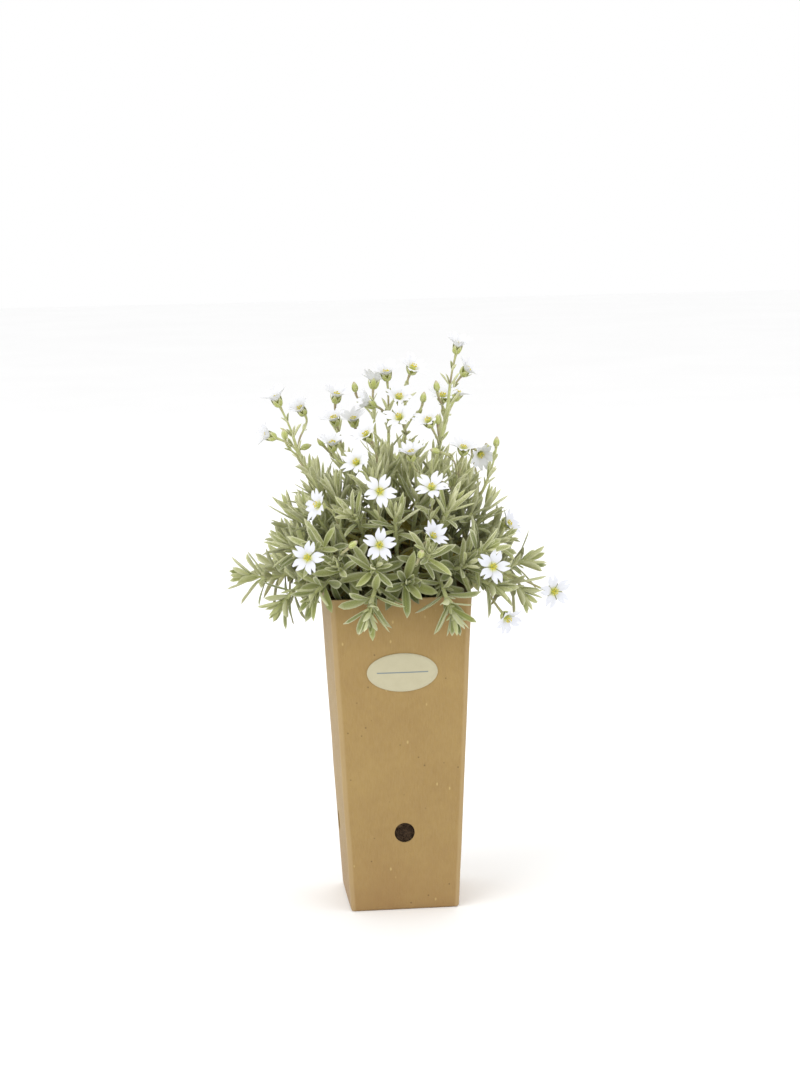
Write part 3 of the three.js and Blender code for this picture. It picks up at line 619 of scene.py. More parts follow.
class Plant:
    """Grows the plant by the rule that places its solids, then fills in what they leave out."""

    STEM_GAP = 0.5
    LEAF_GAP = 0.35
    FILL_GAP = -0.8
    STEM_TRIES = 60
    LEAF_TRIES = 9
    ROOT_BEADS = 4
    LOW_SHIFT = 0.35
    UPRIGHT_OPEN = 0.62

    def __init__(self) -> None:
        """Grows everything, in the order of the solids."""
        self.room = Room()
        self.leaf_seed = SEED_LEAVES
        self.blooms: list[Head] = []
        self.sprays = [self.set_spray(index, *numbers) for index, numbers in enumerate(SPRAYS)]
        for number, spray in enumerate(self.sprays):
            self.grow_spray(spray, number)
        self.tufts = self.set_tufts()
        specs = self.shoot_specs()
        for spec in specs:
            self.tuft_of(spec.tip).tips.append(spec.tip)
        for number, spec in enumerate(specs):
            self.grow_shoot(spec, number)
        for spray in self.sprays:
            self.grow_leaves(spray.stem, self.LEAF_GAP)
        for tuft in self.tufts:
            for stem in tuft.stems:
                self.grow_leaves(stem, self.LEAF_GAP)

    def set_spray(self, index: int, name: str, root: tuple, heads: tuple) -> Spray:
        """A flowering stem's heads, each with its own draws."""
        made = []
        for number, (x, y, z, turn, up, *cup) in enumerate(heads):
            draws = Draws(SEED_HEADS + 40 * number + index)
            axis = facing(turn, up)
            back = CALYX_MOUTH if cup else BUD_LENGTH / 2
            first, second = square_to(axis, facing(turn + 90, 0))
            roll = draws(0, 2 * pi)
            lengths = [draws(0.93, 1.05) for _ in range(HEAD_SIDES)]
            label = f"bloom_{len(self.blooms) + 1:02d}" if cup else name
            foot = np.array([x, y, z], float) - axis * back
            head = Head(label, foot, axis, first, second, cup[0] if cup else None, roll, lengths)
            self.room.add(self.head_beads(head, name))
            if cup:
                calyx = np.array([head.point(0, 0, high) for high in (1.5, 4)])
                self.room.add(Beads(calyx, np.full(2, 2.4), name, name))
                self.blooms.append(head)
            made.append(head)
        return Spray(name, root, made)

    @staticmethod
    def head_beads(head: Head, spray: str) -> Beads:
        """The beads that a flower's petals or a bud fill."""
        if head.bud:
            points = np.array([head.point(0, 0, high) for high in (1, 3.5, 6)])
            return Beads(points, np.full(3, BUD_RADIUS), head.name, spray)
        rows = []
        for out, count in ((3, 6), (5.6, 10), (8.3, 14)):
            high = PETAL_RISE + out * sin(head.slope)
            for i in range(count):
                rows.append(head.point(i * 2 * pi / count, out * cos(head.slope), high))
        return Beads(np.array(rows), np.full(len(rows), 1.3), head.name, spray)

    def bend_clear(self, control: Sequence[Array], radius: float, skip: Skip, draws: Draws,
                   start: int = ROOT_BEADS) -> Array | None:
        """Bends a stem's two inner control points until all but its root is clear.

        Args:
            control: The four control points.
            radius: The stem's radius.
            skip: Says what it may touch.
            draws: The stem's own draws.
            start: The first bead that has to be clear.

        Returns:
            The control points, or None if no way was found.
        """
        rings = [Ring(t=i / 6, radius=radius) for i in range(7)]
        for attempt in range(self.STEM_TRIES):
            reach = 1 + attempt * 0.35 if attempt else 0
            shifts = []
            for share in (self.LOW_SHIFT, 1):
                sideways = [draws(-1, 1) * share, draws(-1, 1) * share]
                shifts.append(np.array([*sideways, draws(-0.3, 1)]) * reach)
            bent = np.array([control[0], control[1] + shifts[0], control[2] + shifts[1], control[3]])
            trial = Stem("", "", bent, UP, rings)
            if self.room.clear(trial.beads().part(start), self.STEM_GAP, skip):
                return bent
        return None

    def grow_spray(self, spray: Spray, number: int) -> None:
        """Grows a flowering stem from the soil to its fork, and a stalk to each of its heads."""
        draws = Draws(SEED_SPRAYS + number)
        lead = spray.heads[0]
        root = np.array([*spray.root, POT.soil_top - POT.root_depth], float)
        fork = lead.foot - lead.axis * (FORK_BELOW * 0.45) - UP * (FORK_BELOW * 0.7)
        fork = fork + (np.array([root[0], root[1], fork[2]]) - fork) * FORK_PULL
        fork[2] = max(fork[2], FORK_LOWEST)
        rise = fork[2] - root[2]
        over_rim = max(0, POT.height + 32 - fork[2])
        across = facing(draws(0, 360), 0)
        roll = draws(0, 2 * pi)
        above = root + UP * rise
        low = root + UP * (rise * 0.5 + over_rim)
        high = fork + (above - fork) * 0.18 + UP * (over_rim - rise * 0.28)
        skip = skip_shoot(self.room, spray.name)
        control = self.bend_clear([root, low, high, fork], SPRAY.root, skip, draws)
        stem = Stem(spray.name, spray.name, control, across)
        stem.set_rings(SPRAY, roll)
        self.room.add(stem.beads())
        spray.stem = stem
        spray.stalks = [self.grow_stalk(stem, fork, head, draws) for head in spray.heads]
        for stalk in spray.stalks:
            beads = stalk.beads()
            self.room.add(beads.part(0, self.ROOT_BEADS))
            beads.shoot = spray.name + "_stalks"
            self.room.add(beads.part(self.ROOT_BEADS))

    def grow_stalk(self, stem: Stem, fork: Array, head: Head, draws: Draws) -> Stem:
        """Grows a head's stalk, from where it leaves its stem to the foot of the head."""
        away = hypot(head.foot[0] - fork[0], head.foot[1] - fork[1])
        below = FORK_BELOW * (0.8 + 2 * max(-head.axis[2], 0))
        join = max(head.foot[2] - below - FORK_SHARE * away, FORK_LOWEST)
        t = 0.97
        while t > 0.2 and curve_at(stem.control, t)[0][2] > join:
            t -= 0.02
        point = stem.chord_points(np.array([t]))[0]
        length = float(norm(point - head.foot))
        leaving = point + curve_at(stem.control, t)[1] * length * 0.4
        control = [point, leaving, head.foot - head.axis * length * 0.35, head.foot]
        bent = self.bend_clear(control, STALK_ROOT, skip_node(self.room, stem.node), draws, 1)
        steps = 3 if length > STALK_LONG else 2
        rings = [Ring(t=i / steps, radius=STALK_ROOT) for i in range(steps + 1)]
        across = head.point(head.roll, 1, 0) - head.foot
        return Stem(stem.node, stem.node, np.array(control) if bent is None else bent, across, rings)

    @staticmethod
    def shoot_specs() -> list[ShootSpec]:
        """Every leafy shoot of the mound."""
        specs = [ShootSpec(np.array(tip, float), turn, up) for tip, turn, up in LOW_SHOOTS]
        draws = Draws(SEED_SHOOTS)
        for ring in MOUND:
            for i in range(ring.count):
                turn = ring.first + i * ring.step + draws(-5, 5)
                tip = facing(turn, 0) * (ring.reach + draws(-4, 4))
                tip[2] = ring.height + draws(-5, 5)
                turn += draws(-14, 14)
                specs.append(ShootSpec(tip, turn, ring.up + draws(-8, 8), ring.open, ring.inner))
        return specs

    @staticmethod
    def set_tufts() -> list[Tuft]:
        """The crowns: one for each sector round the pot, and an inner left and right one."""
        roots = [facing(i * 360 / TUFT_SECTORS, 0)[:2] * TUFT_ROOT for i in range(TUFT_SECTORS)]
        roots.extend(TUFT_INNER_ROOTS)
        deep = POT.soil_top - POT.root_depth
        return [Tuft(f"tuft_{i + 1:02d}", np.array([*root, deep], float)) for i, root in enumerate(roots)]

    def tuft_of(self, tip: Array) -> Tuft:
        """The tuft that a tip belongs to."""
        if hypot(tip[0], tip[1]) < TUFT_INNER_REACH:
            return self.tufts[TUFT_SECTORS + (1 if tip[0] > 0 else 0)]
        around = atan2(tip[0], -tip[1]) / (2 * pi) + 1
        return self.tufts[math.floor(around * TUFT_SECTORS + 0.5) % TUFT_SECTORS]

    @staticmethod
    def root_of(tuft: Tuft, tip: Array) -> Array:
        """Where a shoot leaves its crown."""
        level = np.array([1.0, 1.0, 0.0])
        middle = np.sum(tuft.tips, axis=0) / len(tuft.tips)
        widest = max([float(norm((other - middle) * level)) for other in tuft.tips] + [1])
        return (tip - middle) * level * (CROWN_REACH / widest) + tuft.root

    def grow_shoot(self, spec: ShootSpec, number: int) -> None:
        """Grows a leafy shoot's stem from its crown, over the rim where it hangs outside, to its tip."""
        draws = Draws(SEED_SHOOTS + 1 + number)
        tuft = self.tuft_of(spec.tip)
        axis = facing(spec.turn, spec.up)
        length = float(norm(tuft.root - spec.tip))
        over_rim = max(0, POT.height + 12 - spec.tip[2])
        roll = draws(0, pi)
        root = self.root_of(tuft, spec.tip)
        skip = skip_fused(self.room, tuft.name)
        low = root + UP * (26 + 0.22 * length + over_rim * 0.6)
        high = spec.tip - axis * 0.34 * length + UP * over_rim * 0.9
        control = self.bend_clear([root, low, high, spec.tip], SHOOT.root, skip, draws)
        if control is None:
            return
        stem = Stem(tuft.name, f"{tuft.name}_{number}", control, facing(spec.turn + 90, 0), open=spec.open)
        stem.set_rings(INNER_SHOOT if spec.inner else SHOOT, roll)
        self.thin_to_fit(stem, skip)
        self.room.add(stem.beads())
        tuft.stems.append(stem)

    def thin_to_fit(self, stem: Stem, skip: Skip) -> None:
        """Thins a stem's rings on both sides of each bead that isn't clear."""
        for _ in range(self.STEM_TRIES):
            beads = stem.beads().part(self.ROOT_BEADS)
            tight = beads.shares[self.room.tight(beads, self.STEM_GAP, skip)]
            for t in tight:
                above = next(i for i, ring in enumerate(stem.rings) if ring.t >= t)
                for ring in stem.rings[max(above - 1, 0): above + 1]:
                    ring.radius = max(ring.radius - 0.3, min(SHOOT.root, ring.radius))
            if not len(tight):
                return

    def grow_leaves(self, stem: Stem, gap: float, rings: Iterable[Ring] | None = None) -> None:
        """Grows leaves: each is turned, opened or shortened a little until it is clear, or left out.

        Args:
            stem: The stem that they grow on.
            gap: The room that each keeps to its neighbours.
            rings: The rings that bear them, if they aren't the stem's own.
        """
        own_stem = skip_stem(self.room, stem.shoot)
        own = skip_shoot(self.room, stem.shoot)
        for ring in [ring for ring in (stem.rings if rings is None else rings) if ring.length]:
            for far in (0, 1):
                self.leaf_seed += 1
                draws = Draws(self.leaf_seed)
                for attempt in range(self.LEAF_TRIES):
                    play = attempt * 4
                    turn = radians(draws(-5 - play, 5 + play))
                    opened = ring.open * stem.open + draws(-4 - play, 4 + play)
                    leaf = stem.leaf_at(ring, far, turn, opened, draws(0.9, 1.08) - attempt * 0.03)
                    blade = blade_beads(leaf, stem.node, stem.shoot)
                    foot = foot_beads(leaf, stem.node, stem.shoot)
                    if self.room.clear(blade, gap, own_stem) and self.room.clear(foot, gap, own):
                        self.room.add(blade)
                        self.room.add(foot)
                        ring.leaves.append(leaf)
                        break

    def fill_in(self) -> None:
        """Adds what the solids leave out: leaves between the pairs, at each tip and low down."""
        self.leaf_seed = SEED_EXTRAS
        for spray in self.sprays:
            self.fill(spray.stem, self.spray_rings(spray.stem))
        for number, (tip, turn, up) in enumerate(UPRIGHT_SHOOTS):
            self.add_upright(np.array(tip, float), turn, up, number)
        for tuft in self.tufts:
            for stem in tuft.stems:
                self.fill(stem, [*self.between_rings(stem), *self.tip_rings(stem), *self.axil_rings(stem),
                                 *self.old_rings(stem)])

    def fill(self, stem: Stem, extra: list[Ring]) -> None:
        """Grows leaves on extra rings of a stem, and keeps the rings that bear some."""
        self.grow_leaves(stem, self.FILL_GAP, extra)
        stem.rings = sorted([*stem.rings, *(ring for ring in extra if ring.leaves)], key=lambda ring: ring.t)

    def add_upright(self, tip: Array, turn: float, up: float, number: int) -> None:
        """Grows an upright shoot from the nearest crown straight to its tip."""
        draws = Draws(SEED_EXTRAS + 300 + number)
        tuft = self.tuft_of(tip)
        length = float(norm(tuft.root - tip))
        root = self.root_of(tuft, tip)
        control = np.array([root, root + UP * length * 0.45, tip - facing(turn, up) * 0.34 * length, tip])
        across = facing(turn + 90, 0)
        stem = Stem(tuft.name, f"{tuft.name}_upright_{number}", control, across, open=self.UPRIGHT_OPEN)
        stem.set_rings(INNER_SHOOT, draws(0, pi))
        self.room.add(stem.beads())
        self.grow_leaves(stem, self.FILL_GAP)
        tuft.stems.append(stem)

    @staticmethod
    def spray_rings(stem: Stem) -> list[Ring]:
        """The narrow upright pairs of leaves that a flowering stem bears all the way up."""
        made = []
        for number, down in enumerate(range(30, 92, 6)):
            share = stem.share_below_tip(down)
            point = curve_at(stem.control, share)[0]
            if point[2] < POT.height + 10:
                break
            if norm((point - MOUND_CENTRE) / MOUND_REACH) > 0.95:
                continue
            turn = stem.rings[1].turn + number * radians(100)
            made.append(Ring(down, 0.8, 15 + 0.3 * number, 2.8, 22 + 1.5 * number, -6, share, turn))
        return made

    @staticmethod
    def between_rings(stem: Stem) -> list[Ring]:
        """A pair of leaves half-way between each two pairs that a stem has."""
        leafy = [ring for ring in stem.rings if ring.length]
        made = []
        for low, high in zip(leafy, leafy[1:]):
            mean = {key: (getattr(low, key) + getattr(high, key)) / 2
                    for key in ("down", "radius", "width", "open", "curl", "t")}
            length = (low.length + high.length) * 0.46
            made.append(Ring(length=length, turn=low.turn + radians(112.5), **mean))
        return made

    @staticmethod
    def tip_rings(stem: Stem) -> list[Ring]:
        """The small leaves that stand close round a shoot's tip."""
        top = max((ring for ring in stem.rings if ring.length), key=lambda ring: ring.t)
        share = stem.share_below_tip(0.4)
        return [Ring(0.4, 0.7, 7, 2.4, 9, -4, share, top.turn + radians(90))]

    @staticmethod
    def axil_rings(stem: Stem) -> list[Ring]:
        """The small leaves of side shoots, which stand upright in the axils of the full-grown pairs."""
        made = []
        for ring in stem.rings:
            if ring.length > 12:
                for turned, length in ((65, 9), (25, 7)):
                    share, turn = min(ring.t + 0.012, 1), ring.turn + radians(turned)
                    made.append(Ring(ring.down, 0.6, length, 2.3, ring.open * 0.5, 4, share, turn))
        return made

    @staticmethod
    def old_rings(stem: Stem) -> list[Ring]:
        """Old, narrow leaves on the bare part of a shoot, yellowing towards its root."""
        lowest = min(ring.down for ring in stem.rings if ring.length and ring.down > 10)
        deepest = max(ring.down for ring in stem.rings)
        made = []
        for number in range(9):
            share = stem.share_below_tip(max(lowest, deepest) + 1.5 + 4.5 * number)
            if curve_at(stem.control, share)[0][2] < POT.soil_top + 5:
                break
            turn = stem.rings[1].turn + number * radians(78)
            made.append(Ring(0.0, 1.1, 16 - number * 0.5, 4.0, 70, 16, share, turn, 0.1 + 0.1 * number))
        return made


# Blades and tubes as data for Geometry Nodes
@dataclass
class Blade:
    """A leaf, sepal, petal or stamen: its quadratic midrib, the way to its side, and its sizes in mm."""

    midrib: Array
    side: Array
    width: float
    thick: float
    tint: float
    age: float = 0.0
    twist: float = 0.0
    deep: float = 0.0


@dataclass
class Tube:
    """A stem as points along its middle, with its radius at each, in millimetres."""

    points: Array
    radii: Array
    age: float = 0.0


Value = NodeSocket | Node | float | int | str | Sequence[float] | Material | bool


class Nodes:
    """A node tree being built, with short calls for the nodes that it uses most."""

    def __init__(self, tree: NodeTree) -> None:
        """Takes the tree to build in."""
        self.tree = tree

    def feed(self, socket: NodeSocket, value: Value) -> None:
        """Links a socket to another or to a node's first output, or gives it a value."""
        if isinstance(value, Node):
            value = value.outputs[0]
        if isinstance(value, NodeSocket):
            self.tree.links.new(value, socket)
        else:
            socket.default_value = value

    def add(self, kind: str, inputs: dict[str, Value] | None = None, **settings: object) -> Node:
        """Adds a node.

        Args:
            kind: The node's type.
            inputs: Values or links for its inputs, by name.
            **settings: The node's own properties.

        Returns:
            The node.
        """
        node = self.tree.nodes.new(kind)
        for name, value in settings.items():
            setattr(node, name, value)
        for name, value in (inputs or {}).items():
            socket = next(socket for socket in node.inputs if socket.enabled and socket.name == name)
            self.feed(socket, value)
        return node

    def out(self, node: Node, name: str) -> NodeSocket:
        """The output of a node that has this name and is in use."""
        return next(socket for socket in node.outputs if socket.enabled and socket.name == name)

    def math(self, operation: str, *values: Value) -> NodeSocket:
        """The result of a sum on numbers."""
        node = self.tree.nodes.new("ShaderNodeMath")
        node.operation = operation
        for socket, value in zip(node.inputs, values):
            self.feed(socket, value)
        return node.outputs[0]

    def times(self, *values: Value) -> NodeSocket:
        """The product of numbers, from the first on."""
        return reduce(lambda left, right: self.math("MULTIPLY", left, right), values)

    def vector(self, operation: str, *values: Value) -> NodeSocket:
        """The result of a sum on vectors."""
        node = self.tree.nodes.new("ShaderNodeVectorMath")
        node.operation = operation
        sockets = [node.inputs[0], node.inputs[3]] if operation == "SCALE" else node.inputs
        for socket, value in zip(sockets, values):
            self.feed(socket, value)
        return node.outputs[0]

    def mix(self, factor: Value, low: Value, high: Value) -> NodeSocket:
        """A mix of two colours."""
        node = self.tree.nodes.new("ShaderNodeMix")
        node.data_type = "RGBA"
        for place, value in ((0, factor), (6, low), (7, high)):
            plain = isinstance(value, tuple) and len(value) == 3
            self.feed(node.inputs[place], (*value, 1) if plain else value)
        return node.outputs[2]

    def layers(self, colour: Value, *coats: tuple[Value, Colour]) -> Value:
        """A colour under several coats, each of them a mask and its colour."""
        for mask, coat in coats:
            colour = self.mix(mask, colour, coat)
        return colour

    def scaled(self, value: Value, low: float, high: float, to_low: float = 0.0,
               to_high: float = 1.0) -> NodeSocket:
        """A number moved from one range to another, and held inside it."""
        node = self.tree.nodes.new("ShaderNodeMapRange")
        for socket, number in zip(node.inputs, (value, low, high, to_low, to_high)):
            self.feed(socket, number)
        return node.outputs[0]


def new_object(name: str, data: bpy.types.ID) -> Object:
    """An object of the scene that holds a mesh, a light or a camera."""
    made = bpy.data.objects.new(name, data)
    bpy.context.collection.objects.link(made)
    return made


def plain_mesh(holder: Object) -> Mesh:
    """An object's mesh with its modifiers worked in."""
    depsgraph = bpy.context.evaluated_depsgraph_get()
    return bpy.data.meshes.new_from_object(
        holder.evaluated_get(depsgraph), preserve_all_data_layers=True, depsgraph=depsgraph)


class GeometryRule:
    """A Geometry Nodes tree with named inputs, which turns a mesh of points or paths into a plain mesh."""

    KINDS = {int: "NodeSocketInt", float: "NodeSocketFloat", Material: "NodeSocketMaterial"}

    def __init__(self, name: str, inputs: dict[str, type]) -> None:
        """Starts a tree.

        Args:
            name: The tree's name.
            inputs: The names and types of its inputs, besides the geometry and the material.
        """
        self.nodes = Nodes(bpy.data.node_groups.new(name, "GeometryNodeTree"))
        face = self.nodes.tree.interface
        face.new_socket("Geometry", in_out="INPUT", socket_type="NodeSocketGeometry")
        self.sockets = {
            key: face.new_socket(key, in_out="INPUT", socket_type=self.KINDS[kind])
            for key, kind in {**inputs, "Material": Material}.items()
        }
        face.new_socket("Geometry", in_out="OUTPUT", socket_type="NodeSocketGeometry")
        self.input = self.nodes.add("NodeGroupInput")
        self.output = self.nodes.add("NodeGroupOutput")

    def named(self, key: str) -> NodeSocket:
        """One of the tree's own inputs."""
        return self.input.outputs[key]

    def attribute(self, name: str, kind: str = "FLOAT") -> NodeSocket:
        """An attribute of the geometry, by name."""
        node = self.nodes.add("GeometryNodeInputNamedAttribute", {"Name": name}, data_type=kind)
        return self.nodes.out(node, "Attribute")

    def store(self, geometry: Value, name: str, value: Value) -> Node:
        """The geometry with a number kept on its points."""
        given = {"Geometry": geometry, "Name": name, "Value": value}
        return self.nodes.add("GeometryNodeStoreNamedAttribute", given)

    def drawn(self, low: Sequence[float], high: Sequence[float]) -> NodeSocket:
        """A vector drawn for each point between two limits."""
        node = self.nodes.add("FunctionNodeRandomValue", {"Min": low, "Max": high}, data_type="FLOAT_VECTOR")
        return self.nodes.out(node, "Value")

    def spots(self, **chosen: Value) -> Node:
        """Points scattered over a surface, as close as the tree's inputs say."""
        given = {"Mesh": self.named("Geometry"), "Density": self.named("Density"), "Seed": self.named("Seed")}
        return self.nodes.add("GeometryNodeDistributePointsOnFaces", {**given, **chosen})

    def set_out(self, points: Value, shape: Value, **posed: Value) -> Node:
        """A mesh of one copy of a shape on each point."""
        given = {"Points": points, "Instance": shape, **posed}
        copies = self.nodes.add("GeometryNodeInstanceOnPoints", given)
        return self.nodes.add("GeometryNodeRealizeInstances", {"Geometry": copies})

    def close(self, geometry: Value, crisp: float = pi) -> None:
        """Ends the tree with smooth faces and the material that is named.

        Args:
            geometry: What the tree has made.
            crisp: The angle past which an edge stays crisp, in radians.
        """
        n = self.nodes
        smooth = n.add("GeometryNodeSetShadeSmooth", {"Geometry": geometry})
        if crisp < pi:
            steep = n.math("LESS_THAN", n.add("GeometryNodeInputMeshEdgeAngle"), crisp)
            given = {"Geometry": smooth, "Shade Smooth": steep}
            smooth = n.add("GeometryNodeSetShadeSmooth", given, domain="EDGE")
        dressed = n.add("GeometryNodeSetMaterial", {"Geometry": smooth, "Material": self.named("Material")})
        n.feed(self.output.inputs[0], dressed)

    def apply(self, mesh: Mesh, values: dict[str, object]) -> Mesh:
        """Runs the rule on a mesh.

        Args:
            mesh: The points or paths.
            values: A value for each named input.

        Returns:
            The plain mesh that it makes.
        """
        holder = new_object(mesh.name, mesh)
        modifier = holder.modifiers.new("rule", "NODES")
        modifier.node_group = self.nodes.tree
        for key, value in values.items():
            modifier[self.sockets[key].identifier] = value
        made = plain_mesh(holder)
        bpy.data.objects.remove(holder)
        return made


@dataclass(frozen=True)
class BladeForm:
    """How a kind of blade fills out round its midrib."""

    sides: int = 8
    steps: int = 8
    belly: float = 0.85
    span: float = 1.0
    fullness: float = 0.65
    dish: float = 0.2
    groove: float = 0.7
    notch: float = 0.0
    shoulder: float = 0.0
    ripple: float = 0.0

    def values(self) -> dict[str, object]:
        """The form as the blade rule's inputs, which are named for its fields."""
        return {part.name.capitalize(): getattr(self, part.name) for part in fields(self)}


class BladeRule(GeometryRule):
    """Sets a lens-like blade on each point, bends it along that point's midrib, and shuts its two ends."""

    SHUT = 0.001 * MM
    CRISP = radians(70)

    def __init__(self) -> None:
        """Builds the tree."""
        inputs = {part.name.capitalize(): type(part.default) for part in fields(BladeForm)}
        super().__init__("blade_rule", inputs)
        n = self.nodes
        sizes = {"Vertices": self.named("Sides"), "Side Segments": self.named("Steps"), "Radius": 1.0,
                 "Depth": 1.0}
        tube = n.add("GeometryNodeMeshCylinder", sizes, fill_type="NONE")
        place = n.add("ShaderNodeSeparateXYZ", {"Vector": n.add("GeometryNodeInputPosition")})
        blank = self.store(tube, "spread", place)
        blank = self.store(blank, "lift", place.outputs[1])
        blank = self.store(blank, "along", n.math("ADD", place.outputs[2], 0.5))
        real = self.set_out(self.named("Geometry"), blank)
        bent = n.add("GeometryNodeSetPosition", {"Geometry": real, "Position": self.place()})
        shut = n.add("GeometryNodeMergeByDistance", {"Geometry": bent, "Distance": self.SHUT})
        self.close(shut, self.CRISP)

    def place(self) -> NodeSocket:
        """Where each point of a blade goes."""
        n = self.nodes
        along, spread, lift = (self.attribute(name) for name in ("along", "spread", "lift"))
        end_cut = n.math("ADD", self.notch_depth(spread), self.shoulder_depth(spread))
        late = n.math("POWER", along, 1.5)
        reach = n.times(along, n.math("SUBTRACT", 1.0, n.times(end_cut, late)))
        point, ahead = self.midrib(reach)
        side = self.attribute("side", "FLOAT_VECTOR")
        normal = n.vector("NORMALIZE", n.vector("CROSS_PRODUCT", ahead, side))
        turn = n.times(self.attribute("twist"), along)
        cosine, sine = n.math("COSINE", turn), n.math("SINE", turn)
        turned = n.vector("ADD", n.vector("SCALE", side, cosine), n.vector("SCALE", normal, sine))
        raised = n.vector("SUBTRACT", n.vector("SCALE", normal, cosine), n.vector("SCALE", side, sine))
        profile = self.profile(along)
        half = n.times(self.attribute("width"), 0.5, profile)
        across = n.vector("SCALE", turned, n.times(half, spread))
        cup = n.times(self.named("Dish"), n.math("MULTIPLY_ADD", self.attribute("tint"), 1.4, 0.3))
        bowl = n.times(half, cup, n.times(spread, spread))
        skin = n.times(self.attribute("thick"), 0.5, lift)
        ends = n.times(along, 4.0, n.math("SUBTRACT", 1.0, along))
        skin = n.times(skin, n.math("POWER", n.math("MAXIMUM", ends, 0.0), 0.3))
        skin = n.times(skin, self.groove(spread, lift))
        high = n.math("ADD", n.math("ADD", bowl, skin), self.ripple(along, spread, half))
        return n.vector("ADD", n.vector("ADD", point, across), n.vector("SCALE", raised, high))

    def midrib(self, share: Value) -> tuple[NodeSocket, NodeSocket]:
        """The point and the direction of the midrib at a share of it."""
        n = self.nodes
        foot, knee, tip = (self.attribute(name, "FLOAT_VECTOR") for name in ("foot", "knee", "tip"))
        low, high = n.vector("SUBTRACT", knee, foot), n.vector("SUBTRACT", tip, knee)
        first = n.vector("ADD", foot, n.vector("SCALE", low, share))
        second = n.vector("ADD", knee, n.vector("SCALE", high, share))
        ahead = n.vector("SUBTRACT", second, first)
        return n.vector("ADD", first, n.vector("SCALE", ahead, share)), ahead

    def profile(self, along: Value) -> NodeSocket:
        """How wide a blade is along its length, as a share of its width."""
        n = self.nodes
        angle = n.times(pi, self.named("Span"),
                       n.math("POWER", along, self.named("Belly")))
        wide = n.math("POWER", n.math("MAXIMUM", n.math("SINE", angle), 0.0), self.named("Fullness"))
        return n.math("MAXIMUM", wide, 0.06)

    def notch_depth(self, spread: Value) -> NodeSocket:
        """How far the notch in the middle of a blade's end cuts in."""
        n = self.nodes
        near = n.math("MAXIMUM", n.math("MULTIPLY_ADD", n.math("ABSOLUTE", spread), -2.5, 1.0), 0.0)
        return n.times(near, self.named("Notch"))

    def shoulder_depth(self, spread: Value) -> NodeSocket:
        """How far a blade's end falls back towards its edges."""
        n = self.nodes
        return n.times(n.math("POWER", n.math("ABSOLUTE", spread), 5.0), self.named("Shoulder"))

    def groove(self, spread: Value, lift: Value) -> NodeSocket:
        """How a blade thins over its midrib, on its upper face only."""
        n = self.nodes
        middle = n.math("POWER", n.math("SUBTRACT", 1.0, n.math("ABSOLUTE", spread)), 2.0)
        upper = n.math("MAXIMUM", lift, 0.0)
        return n.math("SUBTRACT", 1.0, n.times(middle, upper, self.named("Groove")))

    def ripple(self, along: Value, spread: Value, half: Value) -> NodeSocket:
        """The waves in a blade, which grow towards its end."""
        n = self.nodes
        phase = n.math("MULTIPLY_ADD", self.attribute("tint"), 31.0, n.times(spread, 5.0))
        wave = n.math("SINE", n.math("MULTIPLY_ADD", along, 6.0, phase))
        return n.times(wave, n.times(along, half), self.named("Ripple"))


class TubeRule(GeometryRule):
    """Makes a closed round tube along each path, as thick as its points say."""

    def __init__(self) -> None:
        """Builds the tree."""
        super().__init__("tube_rule", {"Sides": int})
        n = self.nodes
        path = n.add("GeometryNodeMeshToCurve", {"Mesh": self.named("Geometry")})
        sized = n.add("GeometryNodeSetCurveRadius", {"Curve": path, "Radius": self.attribute("thick")})
        ring = n.add("GeometryNodeCurvePrimitiveCircle", {"Resolution": self.named("Sides"), "Radius": 1.0})
        tube = n.add("GeometryNodeCurveToMesh", {"Curve": sized, "Profile Curve": ring,
                                                 "Scale": self.attribute("thick"), "Fill Caps": True})
        self.close(tube)


class HairRule(GeometryRule):
    """Stands fine tapered hairs on a surface, each leaning its own way."""

    LEAN = 0.7
    SHORTEST, LONGEST = 0.55, 1.15

    def __init__(self) -> None:
        """Builds the tree."""
        super().__init__("hair_rule", {"Density": float, "Length": float, "Radius": float, "Seed": int})
        n = self.nodes
        spots = self.spots()
        sizes = {"Vertices": 3, "Radius Top": 0.0, "Radius Bottom": self.named("Radius"),
                 "Depth": self.named("Length")}
        hair = n.add("GeometryNodeMeshCone", sizes, fill_type="NGON")
        tilt = self.drawn((-self.LEAN, -self.LEAN, 0), (self.LEAN, self.LEAN, tau))
        lean = n.add("FunctionNodeEulerToRotation", {"Euler": tilt})
        turned = n.add("FunctionNodeRotateRotation", {"Rotation": spots.outputs[2], "Rotate By": lean},
                       rotation_space="LOCAL")
        grown = n.add("FunctionNodeRandomValue", {"Min": self.SHORTEST, "Max": self.LONGEST, "Seed": 5},
                      data_type="FLOAT")
        self.close(self.set_out(spots, hair, Rotation=turned, Scale=n.out(grown, "Value")))


class CrumbRule(GeometryRule):
    """Scatters rough crumbs on a surface, where its points say that it is bare."""

    SMALLEST, LARGEST = (0.4, 0.4, 0.3), (1.5, 1.2, 0.9)

    def __init__(self) -> None:
        """Builds the tree."""
        super().__init__("crumb_rule", {"Density": float, "Radius": float, "Seed": int})
        n = self.nodes
        spots = self.spots(Selection=n.math("GREATER_THAN", self.attribute("bare"), 0.5))
        crumb = n.add("GeometryNodeMeshIcoSphere", {"Radius": self.named("Radius"), "Subdivisions": 1})
        shape = self.drawn(self.SMALLEST, self.LARGEST)
        self.close(self.set_out(spots, crumb, Rotation=spots.outputs[2], Scale=shape))


def keep_numbers(mesh: Mesh, name: str, values: Array) -> None:
    """Keeps a number or a vector for each point of a mesh.

    Args:
        mesh: The mesh.
        name: The attribute's name.
        values: One number or one vector a point.
    """
    kind, key = ("FLOAT_VECTOR", "vector") if values.ndim == 2 else ("FLOAT", "value")
    mesh.attributes.new(name, kind, "POINT").data.foreach_set(key, values.astype(np.float32).ravel())


